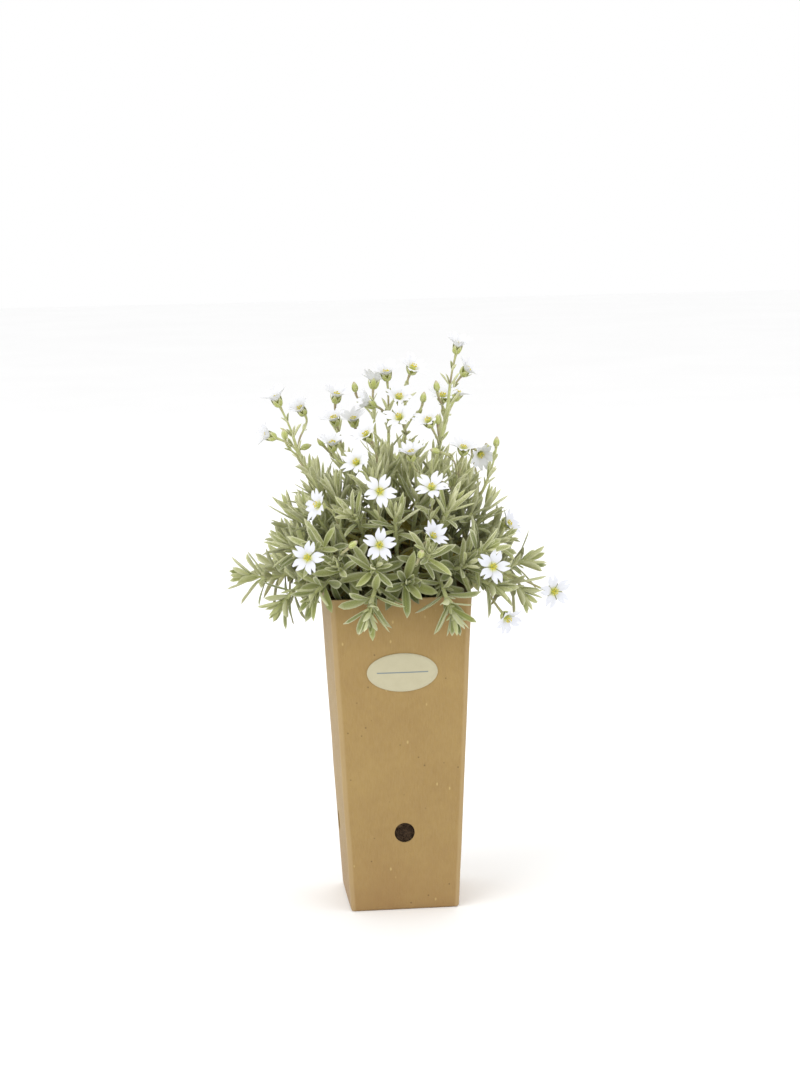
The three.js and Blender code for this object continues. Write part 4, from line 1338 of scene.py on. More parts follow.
def blade_points(name: str, blades: Sequence[Blade]) -> Mesh:
    """A mesh with one point a blade, which carries the blade's midrib and sizes in metres."""
    midribs = np.array([blade.midrib for blade in blades]) * MM
    mesh = bpy.data.meshes.new(name)
    mesh.from_pydata(midribs[:, 0].tolist(), [], [])
    for place, key in enumerate(("foot", "knee", "tip")):
        keep_numbers(mesh, key, midribs[:, place])
    keep_numbers(mesh, "side", np.array([blade.side for blade in blades]))
    for key, scale in (("width", MM), ("thick", MM), ("tint", 1), ("age", 1), ("twist", 1), ("deep", 1)):
        keep_numbers(mesh, key, np.array([getattr(blade, key) for blade in blades]) * scale)
    return mesh


def tube_paths(name: str, tubes: Sequence[Tube]) -> Mesh:
    """A mesh with one path a tube, which carries the tube's radius in metres."""
    points, edges = [], []
    for tube in tubes:
        start = len(points)
        points.extend((tube.points * MM).tolist())
        edges.extend((start + i, start + i + 1) for i in range(len(tube.points) - 1))
    mesh = bpy.data.meshes.new(name)
    mesh.from_pydata(points, edges, [])
    keep_numbers(mesh, "thick", np.concatenate([tube.radii for tube in tubes]) * MM)
    keep_numbers(mesh, "age", np.concatenate([np.full(len(tube.points), tube.age) for tube in tubes]))
    keep_numbers(mesh, "deep", np.array([depth_in_mound(point) for tube in tubes for point in tube.points]))
    return mesh


def join_meshes(name: str, meshes: Sequence[Mesh]) -> Object:
    """Several meshes as one object at the origin, each with its own material.

    Args:
        name: The object's name.
        meshes: The meshes.

    Returns:
        The object.
    """
    holders = [new_object(f"{name}_{i}", mesh) for i, mesh in enumerate(meshes)]
    with bpy.context.temp_override(active_object=holders[0], selected_editable_objects=holders):
        bpy.ops.object.join()
    holders[0].name = holders[0].data.name = name
    return holders[0]


def seat(piece: Object, slot: str, *nodes: str) -> None:
    """Gives a finished piece its body, and hides and logs the nodes that it stands for."""
    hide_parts(*nodes)
    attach(piece, BODY)
    LOG.info("%s: %d faces, stands for %s", piece.name, len(piece.data.polygons), ", ".join(nodes))


# Finishes
def effect_group(name: str, inputs: dict[str, float], output: str) -> tuple[Nodes, Node, Node]:
    """A new shader node group with number inputs and one output.

    Args:
        name: The group's name.
        inputs: Each input's name and its usual value.
        output: The output's name.

    Returns:
        Its nodes, its input node and its output node.
    """
    tree = bpy.data.node_groups.new(name, "ShaderNodeTree")
    for key, value in inputs.items():
        socket = tree.interface.new_socket(key, in_out="INPUT", socket_type="NodeSocketFloat")
        socket.default_value = value
    tree.interface.new_socket(output, in_out="OUTPUT", socket_type="NodeSocketFloat")
    nodes = Nodes(tree)
    return nodes, nodes.add("NodeGroupInput"), nodes.add("NodeGroupOutput")


@cache
def felt() -> NodeTree:
    """Fine lying hairs along a leaf or a stem, as a mask from 0 to 1."""
    n, given, put = effect_group("felt", {"Along": 0, "Across": 0, "Fineness": 1}, "Pile")
    along, across, fineness = given.outputs[:3]
    place = n.add("ShaderNodeTexCoord").outputs["Object"]
    fine = n.add("ShaderNodeTexNoise", {"Vector": place, "Scale": n.times(fineness, 2600.0), "Detail": 2.0})
    lie = n.add("ShaderNodeCombineXYZ", {"X": n.times(along, 9.0), "Y": n.times(across, 16.0)})
    drawn = n.add("ShaderNodeTexNoise", {"Vector": lie, "Scale": 3.0, "Detail": 3.0})
    both = n.math("ADD", n.times(fine, 0.6), n.times(drawn, 0.4))
    n.feed(put.inputs[0], n.scaled(both, 0.36, 0.64))
    return n.tree


@cache
def mottle() -> NodeTree:
    """Cloudy patches over a surface, as a mask from 0 to 1."""
    n, given, put = effect_group("mottle", {"Scale": 60, "Low": 0.35, "High": 0.65}, "Mask")
    scale, low, high = given.outputs[:3]
    place = n.add("ShaderNodeTexCoord").outputs["Object"]
    cloud = n.add("ShaderNodeTexNoise", {"Vector": place, "Scale": scale, "Detail": 4.0, "Roughness": 0.6})
    n.feed(put.inputs[0], n.scaled(cloud, low, high))
    return n.tree


class Finish:
    """A material: its principled shader and the nodes that feed it."""

    def __init__(self, name: str, roughness: float, sheen: float = 0.0, specular: float = 0.3) -> None:
        """Makes the material with the values that are the same all over it."""
        self.material = bpy.data.materials.new(name)
        self.material.use_nodes = True
        self.nodes = Nodes(self.material.node_tree)
        self.shader = self.material.node_tree.nodes["Principled BSDF"]
        self.set("Roughness", roughness)
        self.set("Specular IOR Level", specular)
        self.set("Sheen Weight", sheen)
        self.set("Sheen Roughness", 0.5)

    def set(self, name: str, value: Value) -> None:
        """Feeds one of the shader's inputs."""
        self.nodes.feed(self.shader.inputs[name], value)

    def carried(self, name: str) -> NodeSocket:
        """A number that the mesh carries."""
        return self.nodes.add("ShaderNodeAttribute", attribute_name=name).outputs["Fac"]

    def effect(self, tree: NodeTree, **values: Value) -> NodeSocket:
        """The first output of a shared effect, with its own values."""
        node = self.nodes.add("ShaderNodeGroup", values, node_tree=tree)
        return node.outputs[0]

    def clouds(self, scale: float, low: float = 0.3, high: float = 0.7) -> NodeSocket:
        """Cloudy patches of a scale, as a mask that rises between two limits."""
        return self.effect(mottle(), Scale=scale, Low=low, High=high)

    def place(self) -> NodeSocket:
        """The place on the object."""
        return self.nodes.add("ShaderNodeTexCoord").outputs["Object"]

    def height(self) -> NodeSocket:
        """The height on the object, in metres."""
        return self.nodes.add("ShaderNodeSeparateXYZ", {"Vector": self.place()}).outputs[2]

    def done(self, colour: Value, height: Value, strength: float, distance: float) -> Material:
        """The material with its colour and its relief.

        Args:
            colour: The base colour.
            height: The relief, from 0 to 1.
            strength: How strongly it shows.
            distance: How high it is at 1, in metres.

        Returns:
            The material.
        """
        given = {"Height": height, "Strength": strength, "Distance": distance}
        self.set("Base Color", colour)
        self.set("Normal", self.nodes.add("ShaderNodeBump", given))
        return self.material


@dataclass(frozen=True)
class LeafFelt:
    """Grey-green leaves under a felt of white hairs, paler at their margins and yellower with age."""

    dark: Colour = (0.110, 0.143, 0.036)
    face: Colour = (0.370, 0.405, 0.150)
    bloom: Colour = (0.835, 0.830, 0.515)
    margin: Colour = (0.950, 0.945, 0.690)
    young: Colour = (0.420, 0.470, 0.110)
    # Painted shade colour for leaves deep in the mound.
    painted_shade: Colour = (0.062, 0.078, 0.008)
    yellow: Colour = (0.400, 0.300, 0.040)
    brown: Colour = (0.170, 0.085, 0.030)
    old_height: float = 0.185
    fresh_height: float = 0.240

    def make(self) -> Material:
        """Builds the material."""
        finish = Finish("leaf_felt", 0.82, sheen=0.12, specular=0.15)
        n = finish.nodes
        along, spread, lift = (finish.carried(name) for name in ("along", "spread", "lift"))
        tint, age, deep = (finish.carried(name) for name in ("tint", "age", "deep"))
        edge = n.math("ABSOLUTE", spread)
        pile = finish.effect(felt(), Along=along, Across=spread, Fineness=1.0)
        fresh = n.scaled(finish.height(), self.old_height, self.fresh_height, 0.45, 1.5)
        felted = n.times(n.scaled(tint, 0.0, 1.0, 0.35, 0.8), fresh)
        rim = n.times(n.scaled(edge, 0.5, 1.0), n.scaled(pile, 0.0, 1.0, 0.55, 1.0))
        warm = n.math("FRACT", n.times(tint, 7.3))
        withered = n.times(n.scaled(age, 0.5, 0.85), n.scaled(pile, 0.0, 1.0, 0.6, 1.0))
        colour = n.layers(
            n.mix(tint, self.dark, self.face),
            (n.times(pile, felted), self.bloom),
            (n.scaled(lift, -0.2, -0.9, 0.0, 0.5), self.bloom),
            (n.scaled(edge, 0.16, 0.02, 0.0, 0.5), self.young),
            (n.scaled(along, 0.22, 0.02, 0.0, 0.6), self.young),
            (n.times(rim, n.math("MULTIPLY_ADD", fresh, 0.35, 0.55)), self.margin),
            (n.scaled(along, 0.8, 1.0, 0.0, 0.55), self.margin),
            (n.times(n.math("POWER", warm, 3.0), 0.4), self.young),
            # Painted shade: leaves deep in the mound are mixed towards dark olive, as if shaded by the leaves
            # round them.
            (n.times(deep, 0.9), self.painted_shade),
            (n.scaled(age, 0.15, 0.6, 0.0, 0.75), self.yellow),
            (withered, self.brown),
        )
        return finish.done(colour, n.math("ADD", pile, n.scaled(edge, 0.0, 0.14, -0.8, 0.0)), 0.5, 0.00025)


@dataclass(frozen=True)
class StemFelt:
    """Pale yellow-green stems with a short felt, painted darker deep in the mound as shade, and purplish
    where they are thin.
    """

    base: Colour = (0.460, 0.500, 0.190)
    pale: Colour = (0.670, 0.690, 0.400)
    blush: Colour = (0.300, 0.200, 0.160)
    painted_shade: Colour = (0.110, 0.120, 0.025)
    cloud_scale: float = 90.0

    def make(self) -> Material:
        """Builds the material."""
        finish = Finish("stem_felt", 0.75, sheen=0.15, specular=0.15)
        n = finish.nodes
        pile = finish.effect(felt(), Fineness=0.8)
        cloud = finish.clouds(self.cloud_scale, 0.4, 0.62)
        colour = n.layers(
            self.base,
            (n.times(pile, 0.7), self.pale),
            (n.times(cloud, finish.carried("age"), 0.8), self.blush),
            # Painted shade: stems deep in the mound are mixed towards dark olive.
            (n.times(finish.carried("deep"), 0.5), self.painted_shade),
        )
        return finish.done(colour, pile, 0.4, 0.0002)


@dataclass(frozen=True)
class SepalFelt:
    """Yellow-green sepals with pale papery margins and tips."""

    base: Colour = (0.410, 0.455, 0.110)
    pale: Colour = (0.590, 0.615, 0.270)
    margin: Colour = (0.750, 0.750, 0.520)
    blush: Colour = (0.500, 0.360, 0.250)

    def make(self) -> Material:
        """Builds the material."""
        finish = Finish("sepal_felt", 0.7, sheen=0.15, specular=0.2)
        n = finish.nodes
        along, edge = finish.carried("along"), n.math("ABSOLUTE", finish.carried("spread"))
        pile = finish.effect(felt(), Along=along, Across=edge, Fineness=0.9)
        colour = n.layers(
            self.base,
            (n.times(pile, 0.75), self.pale),
            (n.scaled(edge, 0.7, 1.0, 0.0, 0.65), self.margin),
            (n.scaled(along, 0.72, 1.0, 0.0, 0.8), self.margin),
            (n.times(n.scaled(along, 0.8, 1.0, 0.0, 0.7), finish.carried("age")), self.blush),
        )
        return finish.done(colour, pile, 0.4, 0.0002)


@dataclass(frozen=True)
class PetalWhite:
    """White petals with painted shade low down, where they are darker and bluer, and painted light above,
    where they are brighter, with faint veins and a green-yellow throat.
    """

    # Darker, bluer white of the lower petals, which holds painted shade.
    white: Colour = (0.765, 0.778, 0.830)
    painted_light_white: Colour = (0.835, 0.840, 0.862)
    vein: Colour = (0.600, 0.615, 0.705)
    painted_shade_height: float = 0.225
    painted_light_height: float = 0.265
    throat: Colour = (0.720, 0.740, 0.140)

    def make(self) -> Material:
        """Builds the material."""
        finish = Finish("petal_white", 0.6, sheen=0.1, specular=0.2)
        n = finish.nodes
        along, spread = finish.carried("along"), finish.carried("spread")
        fan = n.math("DIVIDE", spread, n.math("MULTIPLY_ADD", along, 0.5, 0.6))
        comb = n.math("POWER", n.math("ABSOLUTE", n.math("COSINE", n.times(fan, 14.0))), 10.0)
        veins = n.times(comb, n.scaled(along, 1.0, 0.35, 0.1, 0.75))
        colour = n.layers(
            self.white,
            # Painted light and shade: petals are mixed from the darker low white to a brighter white with
            # height.
            (n.scaled(finish.height(), self.painted_shade_height, self.painted_light_height), self.painted_light_white),
            (n.times(veins, 0.7), self.vein),
            (n.scaled(along, 0.38, 0.12, 0.0, 0.95), self.throat),
        )
        return finish.done(colour, veins, 0.35, 0.0002)


@dataclass(frozen=True)
class Plain:
    """A finish of one cloudy colour, for stamens and hairs."""

    name: str
    light: Colour
    dark: Colour
    roughness: float = 0.7
    scale: float = 900.0

    def make(self) -> Material:
        """Builds the material."""
        finish = Finish(self.name, self.roughness)
        cloud = finish.clouds(self.scale, 0.35, 0.65)
        finish.set("Base Color", finish.nodes.mix(cloud, self.dark, self.light))
        return finish.material


@dataclass(frozen=True)
class KraftBoard:
    """Brown kraft board: cloudy, fibrous, with pale and dark flecks, a painted highlight on its folds and
    rim, and painted shade towards its foot.
    """

    light: Colour = (0.372, 0.250, 0.088)
    dark: Colour = (0.303, 0.191, 0.066)
    # Painted shade colour for the foot of the board.
    foot: Colour = (0.300, 0.172, 0.066)
    pale_fleck: Colour = (0.620, 0.480, 0.200)
    dark_fleck: Colour = (0.040, 0.020, 0.008)
    # Pale colour for the fibre streaks, which are the board's grain, and for the painted highlight on the
    # folds and rim.
    pale_fibre_and_fold_highlight: Colour = (0.500, 0.370, 0.200)
    foot_shade_height: float = 0.045

    def flecks(self, finish: Finish, scale: float, size: float, share: float,
               squeeze: tuple[float, float, float] = (1, 1, 1)) -> NodeSocket:
        """Scattered flecks as a mask.

        Args:
            finish: The finish that they are for.
            scale: How many cells a metre holds, each with room for one fleck.
            size: The flecks' size as a share of a cell.
            share: The share of the cells that have one.
            squeeze: How flat the cells are along each axis, which makes dashes of the flecks.

        Returns:
            The mask.
        """
        n = finish.nodes
        given = {"Vector": finish.place(), "Scale": squeeze, "Rotation": (0, 0.6, 0)}
        cells = n.add("ShaderNodeMapping", given)
        node = n.add("ShaderNodeTexVoronoi", {"Vector": cells, "Scale": scale, "Randomness": 1.0})
        chosen = n.math("LESS_THAN", n.add("ShaderNodeSeparateXYZ", {"Vector": node.outputs["Color"]}),
                        share)
        return n.times(n.scaled(node.outputs["Distance"], size, size * 0.5), chosen)

    def make(self) -> Material:
        """Builds the material."""
        finish = Finish("kraft_board", 0.62, sheen=0.1, specular=0.28)
        n = finish.nodes
        cloud, small = (finish.clouds(scale) for scale in (24.0, 240.0))
        stretched = n.add("ShaderNodeMapping", {"Vector": finish.place(), "Scale": (1.0, 1.0, 0.16)})
        fibre = n.add("ShaderNodeTexNoise", {"Vector": stretched, "Scale": 1500.0, "Detail": 3.0})
        fibres = n.scaled(fibre, 0.35, 0.65)
        # Painted shade: the board is mixed towards a darker, warmer brown towards its foot, in cloudy
        # patches.
        low = n.scaled(finish.height(), self.foot_shade_height, 0.0)
        foot_shade = n.times(low, n.scaled(cloud, 0.0, 1.0, 0.9, 0.4))
        colour = n.layers(
            n.mix(n.math("MULTIPLY_ADD", small, 0.35, n.times(cloud, 0.65)), self.dark, self.light),
            (n.times(fibres, 0.1), self.pale_fibre_and_fold_highlight),
            (n.times(foot_shade, 0.85), self.foot),
            (n.times(self.flecks(finish, 190.0, 0.13, 0.34, (1, 1, 0.55)), 0.5), self.pale_fleck),
            (n.times(self.flecks(finish, 210.0, 0.14, 0.24), 0.48), self.dark_fleck),
            (n.times(self.flecks(finish, 70.0, 0.07, 0.16, (0.45, 0.45, 1.3)), 0.6), self.dark_fleck),
            # Painted highlight: the folds and the rim are painted lighter.
            (n.times(finish.carried("fold"), 0.4), self.pale_fibre_and_fold_highlight),
        )
        finish.set("Roughness", n.scaled(small, 0.0, 1.0, 0.55, 0.72))
        return finish.done(colour, n.math("ADD", fibres, n.times(cloud, 0.8)), 0.25, 0.0003)


@dataclass(frozen=True)
class LabelPaper:
    """Pale cream paper with one thin printed rule and a softened edge."""

    paper: Colour = (0.520, 0.480, 0.325)
    shade: Colour = (0.490, 0.450, 0.300)
    ink: Colour = (0.110, 0.170, 0.220)
    rule_half: float = 0.0145
    rule_thick: float = 0.00035

    def make(self) -> Material:
        """Builds the material."""
        finish = Finish("label_paper", 0.5, specular=0.35)
        n = finish.nodes
        across = n.math("ABSOLUTE", n.add("ShaderNodeSeparateXYZ", {"Vector": finish.place()}))
        off_middle = n.math("ABSOLUTE", n.math("SUBTRACT", finish.height(), POT.label_centre * MM))
        on_rule = n.times(n.math("LESS_THAN", off_middle, self.rule_thick),
                          n.math("LESS_THAN", across, self.rule_half))
        cloud = finish.clouds(180.0)
        colour = n.layers(self.shade, (cloud, self.paper), (n.times(on_rule, 0.75), self.ink))
        return finish.done(colour, cloud, 0.15, 0.0001)


@dataclass(frozen=True)
class Peat:
    """Dark damp peat, rough and crumbly."""

    dark: Colour = (0.036, 0.022, 0.014)
    light: Colour = (0.120, 0.078, 0.045)

    def make(self) -> Material:
        """Builds the material."""
        finish = Finish("peat", 0.95, specular=0.12)
        n = finish.nodes
        cloud = finish.clouds(500.0, 0.35, 0.65)
        coarse = finish.clouds(160.0)
        colour = n.mix(n.times(cloud, coarse), self.dark, self.light)
        return finish.done(colour, n.math("ADD", cloud, coarse), 0.9, 0.0012)


class Organ(Enum):
    """The kinds of blade, each with its form."""

    LEAF = BladeForm(steps=6, belly=1.15, fullness=0.48, dish=0.5)
    SEPAL = BladeForm(sides=8, steps=7, belly=0.72, fullness=0.72, dish=0.32, groove=0.0)
    PETAL = BladeForm(sides=16, steps=8, belly=1.35, span=0.7, fullness=0.8, dish=0.12, groove=0.25,
                      notch=0.3, shoulder=0.24, ripple=0.08)
    FILAMENT = BladeForm(sides=4, steps=3, belly=0.7, span=0.9, fullness=0.2, dish=0.0, groove=0.0)
    ANTHER = BladeForm(sides=6, steps=4, belly=1.0, fullness=0.5, dish=0.0, groove=0.0)


class Workshop:
    """The rules and finishes that every plant piece is made with."""

    def __init__(self) -> None:
        """Builds the rules and the finishes."""
        self.blade = BladeRule()
        self.tube = TubeRule()
        self.hair = HairRule()
        self.crumb = CrumbRule()
        self.stem = StemFelt().make()
        self.fuzz = Plain("white_hair", (0.76, 0.77, 0.60), (0.62, 0.63, 0.44)).make()
        self.peat = Peat().make()
        self.organ = {
            Organ.LEAF: LeafFelt().make(),
            Organ.SEPAL: SepalFelt().make(),
            Organ.PETAL: PetalWhite().make(),
            Organ.FILAMENT: Plain("filament", (0.74, 0.76, 0.34), (0.62, 0.66, 0.18)).make(),
            Organ.ANTHER: Plain("anther", (0.80, 0.68, 0.06), (0.62, 0.50, 0.02)).make(),
        }

    def blades(self, name: str, organ: Organ, blades: Sequence[Blade]) -> Mesh:
        """The mesh of some blades of one kind."""
        values = {**organ.value.values(), "Material": self.organ[organ]}
        return self.blade.apply(blade_points(name, blades), values)

    def tubes(self, name: str, tubes: Sequence[Tube], sides: int = 8) -> Mesh:
        """The mesh of some stems."""
        return self.tube.apply(tube_paths(name, tubes), {"Sides": sides, "Material": self.stem})

    def hairs(self, mesh: Mesh, density: float, length: float, seed: int) -> Mesh:
        """Hairs on a mesh.

        Args:
            mesh: The surface that they stand on.
            density: How many stand on a square millimetre.
            length: Their length in millimetres.
            seed: The seed of their places.

        Returns:
            The hairs alone.
        """
        values = {"Density": density / MM**2, "Length": length * MM, "Radius": 0.035 * MM, "Seed": seed,
                  "Material": self.fuzz}
        return self.hair.apply(mesh.copy(), values)


YOUNG_LENGTH = 11


def leaf_blade(leaf: Leaf, draws: Draws, share: float = 1.0, wider: float = 0.0) -> Blade:
    """A leaf's fine blade, which clasps its stem's middle and keeps the leaf's knee and tip.

    Args:
        leaf: The leaf.
        draws: The piece's draws.
        share: The blade's width as a share of the leaf's.
        wider: How much that share grows towards the middle of the mound.

    Returns:
        The blade.
    """
    foot = leaf.axis + (leaf.midrib[0] - leaf.axis) * 0.45
    length = float(norm(leaf.midrib[2] - foot))
    raised = np.cross(leaf.side, unit(leaf.midrib[2] - foot))
    curved = float(np.interp(leaf.axis[2], (200, 235), (0.16, 0.32)))
    sway, curl = draws(-0.11, 0.11) * length, draws(-curved, 0.06) * length
    midrib = np.array([foot, leaf.midrib[1], leaf.midrib[2] + leaf.side * sway + raised * curl])
    tint = draws(0, 1) if length > YOUNG_LENGTH else draws(0.6, 1)
    deep = depth_in_mound(leaf.midrib[1])
    return Blade(midrib, leaf.side, leaf.width * (share + wider * deep), 0.5, tint, leaf.age,
                 draws(-0.7, 0.7), deep)


def stem_tube(stem: Stem, age: float, widest: float, steps: int = 26, flare: float = 0.0) -> Tube:
    """A stem's fine tube, no thicker than its leaf bases leave it, and flared at its end."""
    shares = np.linspace(0, 1, steps)
    radii = np.minimum(stem.radii(shares), widest) * (1 + flare * shares**8)
    return Tube(curve_points(stem.control, shares), radii, age)


@dataclass(frozen=True)
class Foliage:
    """A tuft's leafy shoots. The number seeds their draws."""

    tuft: Tuft
    number: int
    widest_stem: float = 1.25
    wide_below: float = 196
    slim_above: float = 222
    wide: float = 0.88
    slim: float = 0.64
    deep_wide: float = 0.4
    leaf_hairs: float = 0.10
    stem_hairs: float = 0.9
    leaf_hair_length: float = 0.55
    stem_hair_length: float = 0.8

    def share_at(self, height: float) -> float:
        """How wide a shoot's leaves are by its tip's height: slim at the top, wide over the rim."""
        return float(np.interp(height, (self.wide_below, self.slim_above), (self.wide, self.slim)))

    def build(self, shop: Workshop) -> None:
        """Builds the piece and seats it."""
        name = f"{self.tuft.name}_shoots"
        draws = Draws(SEED_EXTRAS + 500 + self.number)
        blades = [leaf_blade(leaf, draws, self.share_at(stem.control[3][2]), self.deep_wide)
                  for stem in self.tuft.stems for ring in stem.rings for leaf in ring.leaves]
        leaves = shop.blades(name, Organ.LEAF, blades)
        stems = shop.tubes(name, [stem_tube(stem, 0.2, self.widest_stem) for stem in self.tuft.stems])
        fuzz = [shop.hairs(leaves, self.leaf_hairs, self.leaf_hair_length, self.number),
                shop.hairs(stems, self.stem_hairs, self.stem_hair_length, 50 + self.number)]
        seat(join_meshes(name, [leaves, stems, *fuzz]), "leaf", self.tuft.name)


@dataclass(frozen=True)
class FlowerStem:
    """A flowering stem with its leaves, stalks, calyces and buds. The number seeds its draws."""

    spray: Spray
    number: int
    hairs: float = 1.3
    hair_length: float = 0.6
    widest: float = 0.85
    stalk_widest: float = 0.58
    leaf_share: float = 0.74
    bract_reach: float = 4.3
    bract_width: float = 2.5
    calyx_width: float = 3.7
    calyx_reach: float = 5.2
    calyx_lean: float = radians(30)
    bud_width: float = 3.1
    flare: float = 0.5

    def sepal(self, head: Head, around: float, draws: Draws) -> Blade:
        """One sepal of a head: of an open cup under a flower, or of a closed bud.

        Args:
            head: The head.
            around: Where it stands round the head's axis.
            draws: The piece's draws.

        Returns:
            The sepal as a blade.
        """
        if head.bud:
            tip = head.point(around, 0.25, BUD_LENGTH)
            midrib = [head.point(around, 0.35, 0), head.point(around, 2.9, 2.6), tip]
            return Blade(np.array(midrib), head.side(around), self.bud_width, 0.35, draws(0, 1), 1.0)
        slope = head.slope + self.calyx_lean
        tip = head.point(around, 1.2 + self.calyx_reach * cos(slope), 1.4 + self.calyx_reach * sin(slope))
        midrib = [head.point(around, 0.5, -0.2), head.point(around, 3.1, 1.3), tip]
        return Blade(np.array(midrib), head.side(around), self.calyx_width, 0.3, draws(0, 1), 0.4)

    def bracts(self, draws: Draws) -> list[Blade]:
        """The pair of small leaves part-way up each stalk."""
        made = []
        for stalk in self.spray.stalks:
            length = float(norm(stalk.control[0] - stalk.control[3]))
            for share in (0.04, draws(0.45, 0.6)) if length > 14 else (0.04,):
                point, ahead = curve_at(stalk.control, share)
                first, second = square_to(ahead, stalk.across)
                around = draws(0, tau)
                for far in (0, pi):
                    out = first * cos(around + far) + second * sin(around + far)
                    reach = self.bract_reach * draws(0.75, 1.1) * (1 if share < 0.1 else 0.75)
                    knee = point + unit(ahead + out * 0.35) * reach
                    tip = knee + unit(ahead + out * draws(0.4, 0.9)) * reach
                    midrib, side = np.array([point, knee, tip]), unit(np.cross(ahead, out))
                    made.append(Blade(midrib, side, self.bract_width, 0.4, draws(0, 0.6)))
        return made

    def build(self, shop: Workshop) -> None:
        """Builds the piece and seats it."""
        name = f"{self.spray.name}_stem"
        draws = Draws(SEED_EXTRAS + 700 + self.number)
        stem = self.spray.stem
        blades = [leaf_blade(leaf, draws, self.leaf_share) for ring in stem.rings for leaf in ring.leaves]
        blades += self.bracts(draws)
        sepals = [self.sepal(head, head.turn_of(i), draws)
                  for head in self.spray.heads for i in range(HEAD_SIDES)]
        tubes = [stem_tube(stem, 0.3, self.widest, 40)]
        tubes.extend(stem_tube(stalk, 0.9, self.stalk_widest, 18, self.flare) for stalk in self.spray.stalks)
        leaves = shop.blades(name, Organ.LEAF, blades)
        cups = shop.blades(name, Organ.SEPAL, sepals)
        stems = shop.tubes(name, tubes)
        fuzz = [shop.hairs(mesh, self.hairs, self.hair_length, 100 + 3 * self.number + i)
                for i, mesh in enumerate((cups, stems))]
        seat(join_meshes(name, [stems, leaves, cups, *fuzz]), "stem", self.spray.name)


@dataclass(frozen=True)
class Flower:
    """A flower: five notched petals round ten stamens. The number seeds its draws."""

    head: Head
    number: int
    petal_width: float = 6.3
    petal_thick: float = 0.22
    stamen_count: int = 10

    def petal(self, place: int, draws: Draws) -> Blade:
        """One petal, upright in the calyx and then bent outwards."""
        head = self.head
        around = head.turn_of(place + 0.5) + draws(-0.05, 0.05)
        slope = head.slope
        out = PETAL_LOBE * head.lengths[place] * 1.04
        midrib = [
            head.point(around, 0.45, 2.4),
            head.point(around, out * 0.36 * cos(slope), PETAL_RISE + 0.9 + out * 0.42 * sin(slope)),
            head.point(around, out * cos(slope), PETAL_RISE + out * sin(slope) + draws(-0.9, 0.4)),
        ]
        width = self.petal_width * draws(0.93, 1.08)
        return Blade(np.array(midrib), head.side(around), width, self.petal_thick, draws(0, 1),
                     twist=draws(-0.22, 0.22))

    def stamens(self, draws: Draws) -> tuple[list[Blade], list[Blade]]:
        """The filaments and the anthers on their ends."""
        filaments, anthers = [], []
        head = self.head
        for i in range(self.stamen_count):
            around = head.roll + i * tau / self.stamen_count + draws(-0.15, 0.15)
            high, out = 6.6 + draws(-0.4, 0.5), 1.1 + 0.5 * (i % 2)
            points = [head.point(around, 0.4, 3), head.point(around, 0.5, 5), head.point(around, out, high)]
            filaments.append(Blade(np.array(points), head.side(around), 0.28, 0.28, draws(0, 1)))
            end = points[2]
            lean = unit(head.axis + head.side(around) * draws(-0.8, 0.8))
            rows = [end - lean * 0.45, end, end + lean * 0.45]
            side = unit(np.cross(lean, end - points[0]))
            anthers.append(Blade(np.array(rows), side, 0.8, 0.65, draws(0, 1)))
        return filaments, anthers

    def build(self, shop: Workshop) -> None:
        """Builds the piece and seats it."""
        name = f"{self.head.name}_flower"
        draws = Draws(SEED_EXTRAS + 900 + self.number)
        petals = [self.petal(i, draws) for i in range(HEAD_SIDES)]
        parts = zip((Organ.PETAL, Organ.FILAMENT, Organ.ANTHER), (petals, *self.stamens(draws)))
        meshes = [shop.blades(name, organ, blades) for organ, blades in parts]
        seat(join_meshes(name, meshes), "petal", self.head.name)


# The pot
Spots = list[tuple[Vector, float]]


def side_shares(per_side: int) -> list[float]:
    """Places along a side from -1 to 1, with a close pair at each end beside the folds."""
    even = [2 * i / per_side - 1 for i in range(1, per_side)]
    return [-1, -0.965, *even, 0.965, 1]


def pot_ring(z: float, offset: float, per_side: int = 12, fold_steps: int = 5) -> Spots:
    """A ring round the pot at a height: four bulging sides with rounded folds between them.

    Args:
        z: The height in millimetres.
        offset: How far the ring is moved out.
        per_side: The number of steps along a side.
        fold_steps: The number of steps round a fold.

    Returns:
        Each point in millimetres, with how much it is on a fold, from 0 to 1.
    """
    half = POT.half_at(z) + offset
    fold = max(POT.fold + offset, 0.5)
    bulge = POT.bulge_at(z)
    made = []
    for side in range(4):
        out, right = Vector(facing(side * 90, 0)), Vector(facing(side * 90 + 90, 0))
        for share in side_shares(per_side):
            place = out * (half + bulge * (1 - share**2)) + right * (share * (half - fold))
            made.append((place + Vector((0, 0, z)), 1.0 if abs(share) == 1 else 0.0))
        for i in range(1, fold_steps):
            angle = pi / 2 * i / fold_steps
            place = (out + right) * (half - fold) + (out * cos(angle) + right * sin(angle)) * fold
            made.append((place + Vector((0, 0, z)), 1.0))
    return made


def dent(point: Vector, deep: float) -> Vector:
    """A point of the pot with the board's slight unevenness, in and out from the middle."""
    level = Vector((point.x, point.y, 0)).normalized()
    return point + level * (noise.noise(point / 26.0) * deep)


def skin_mesh(name: str, number_name: str, rings: Sequence[Spots], finish: Material) -> Mesh:
    """A closed skin through rings of as many points each, shut by the first and the last ring.

    Args:
        name: The mesh's name.
        number_name: The name that its points' numbers are kept under.
        rings: The rings, with each point in millimetres and its number.
        finish: The material.

    Returns:
        The mesh in metres.
    """
    count = len(rings[0])
    spots = [spot for ring in rings for spot in ring]
    last = len(spots) - count
    faces = []
    for low in range(0, last, count):
        for i in range(count):
            j = (i + 1) % count
            faces.append([low + i, low + j, low + count + j, low + count + i])
    faces.append(list(reversed(range(count))))
    faces.append(list(range(last, len(spots))))
    mesh = bpy.data.meshes.new(name)
    mesh.from_pydata([tuple(point * MM) for point, _ in spots], [], faces)
    keep_numbers(mesh, number_name, np.array([number for _, number in spots]))
    mesh.materials.append(finish)
    return mesh


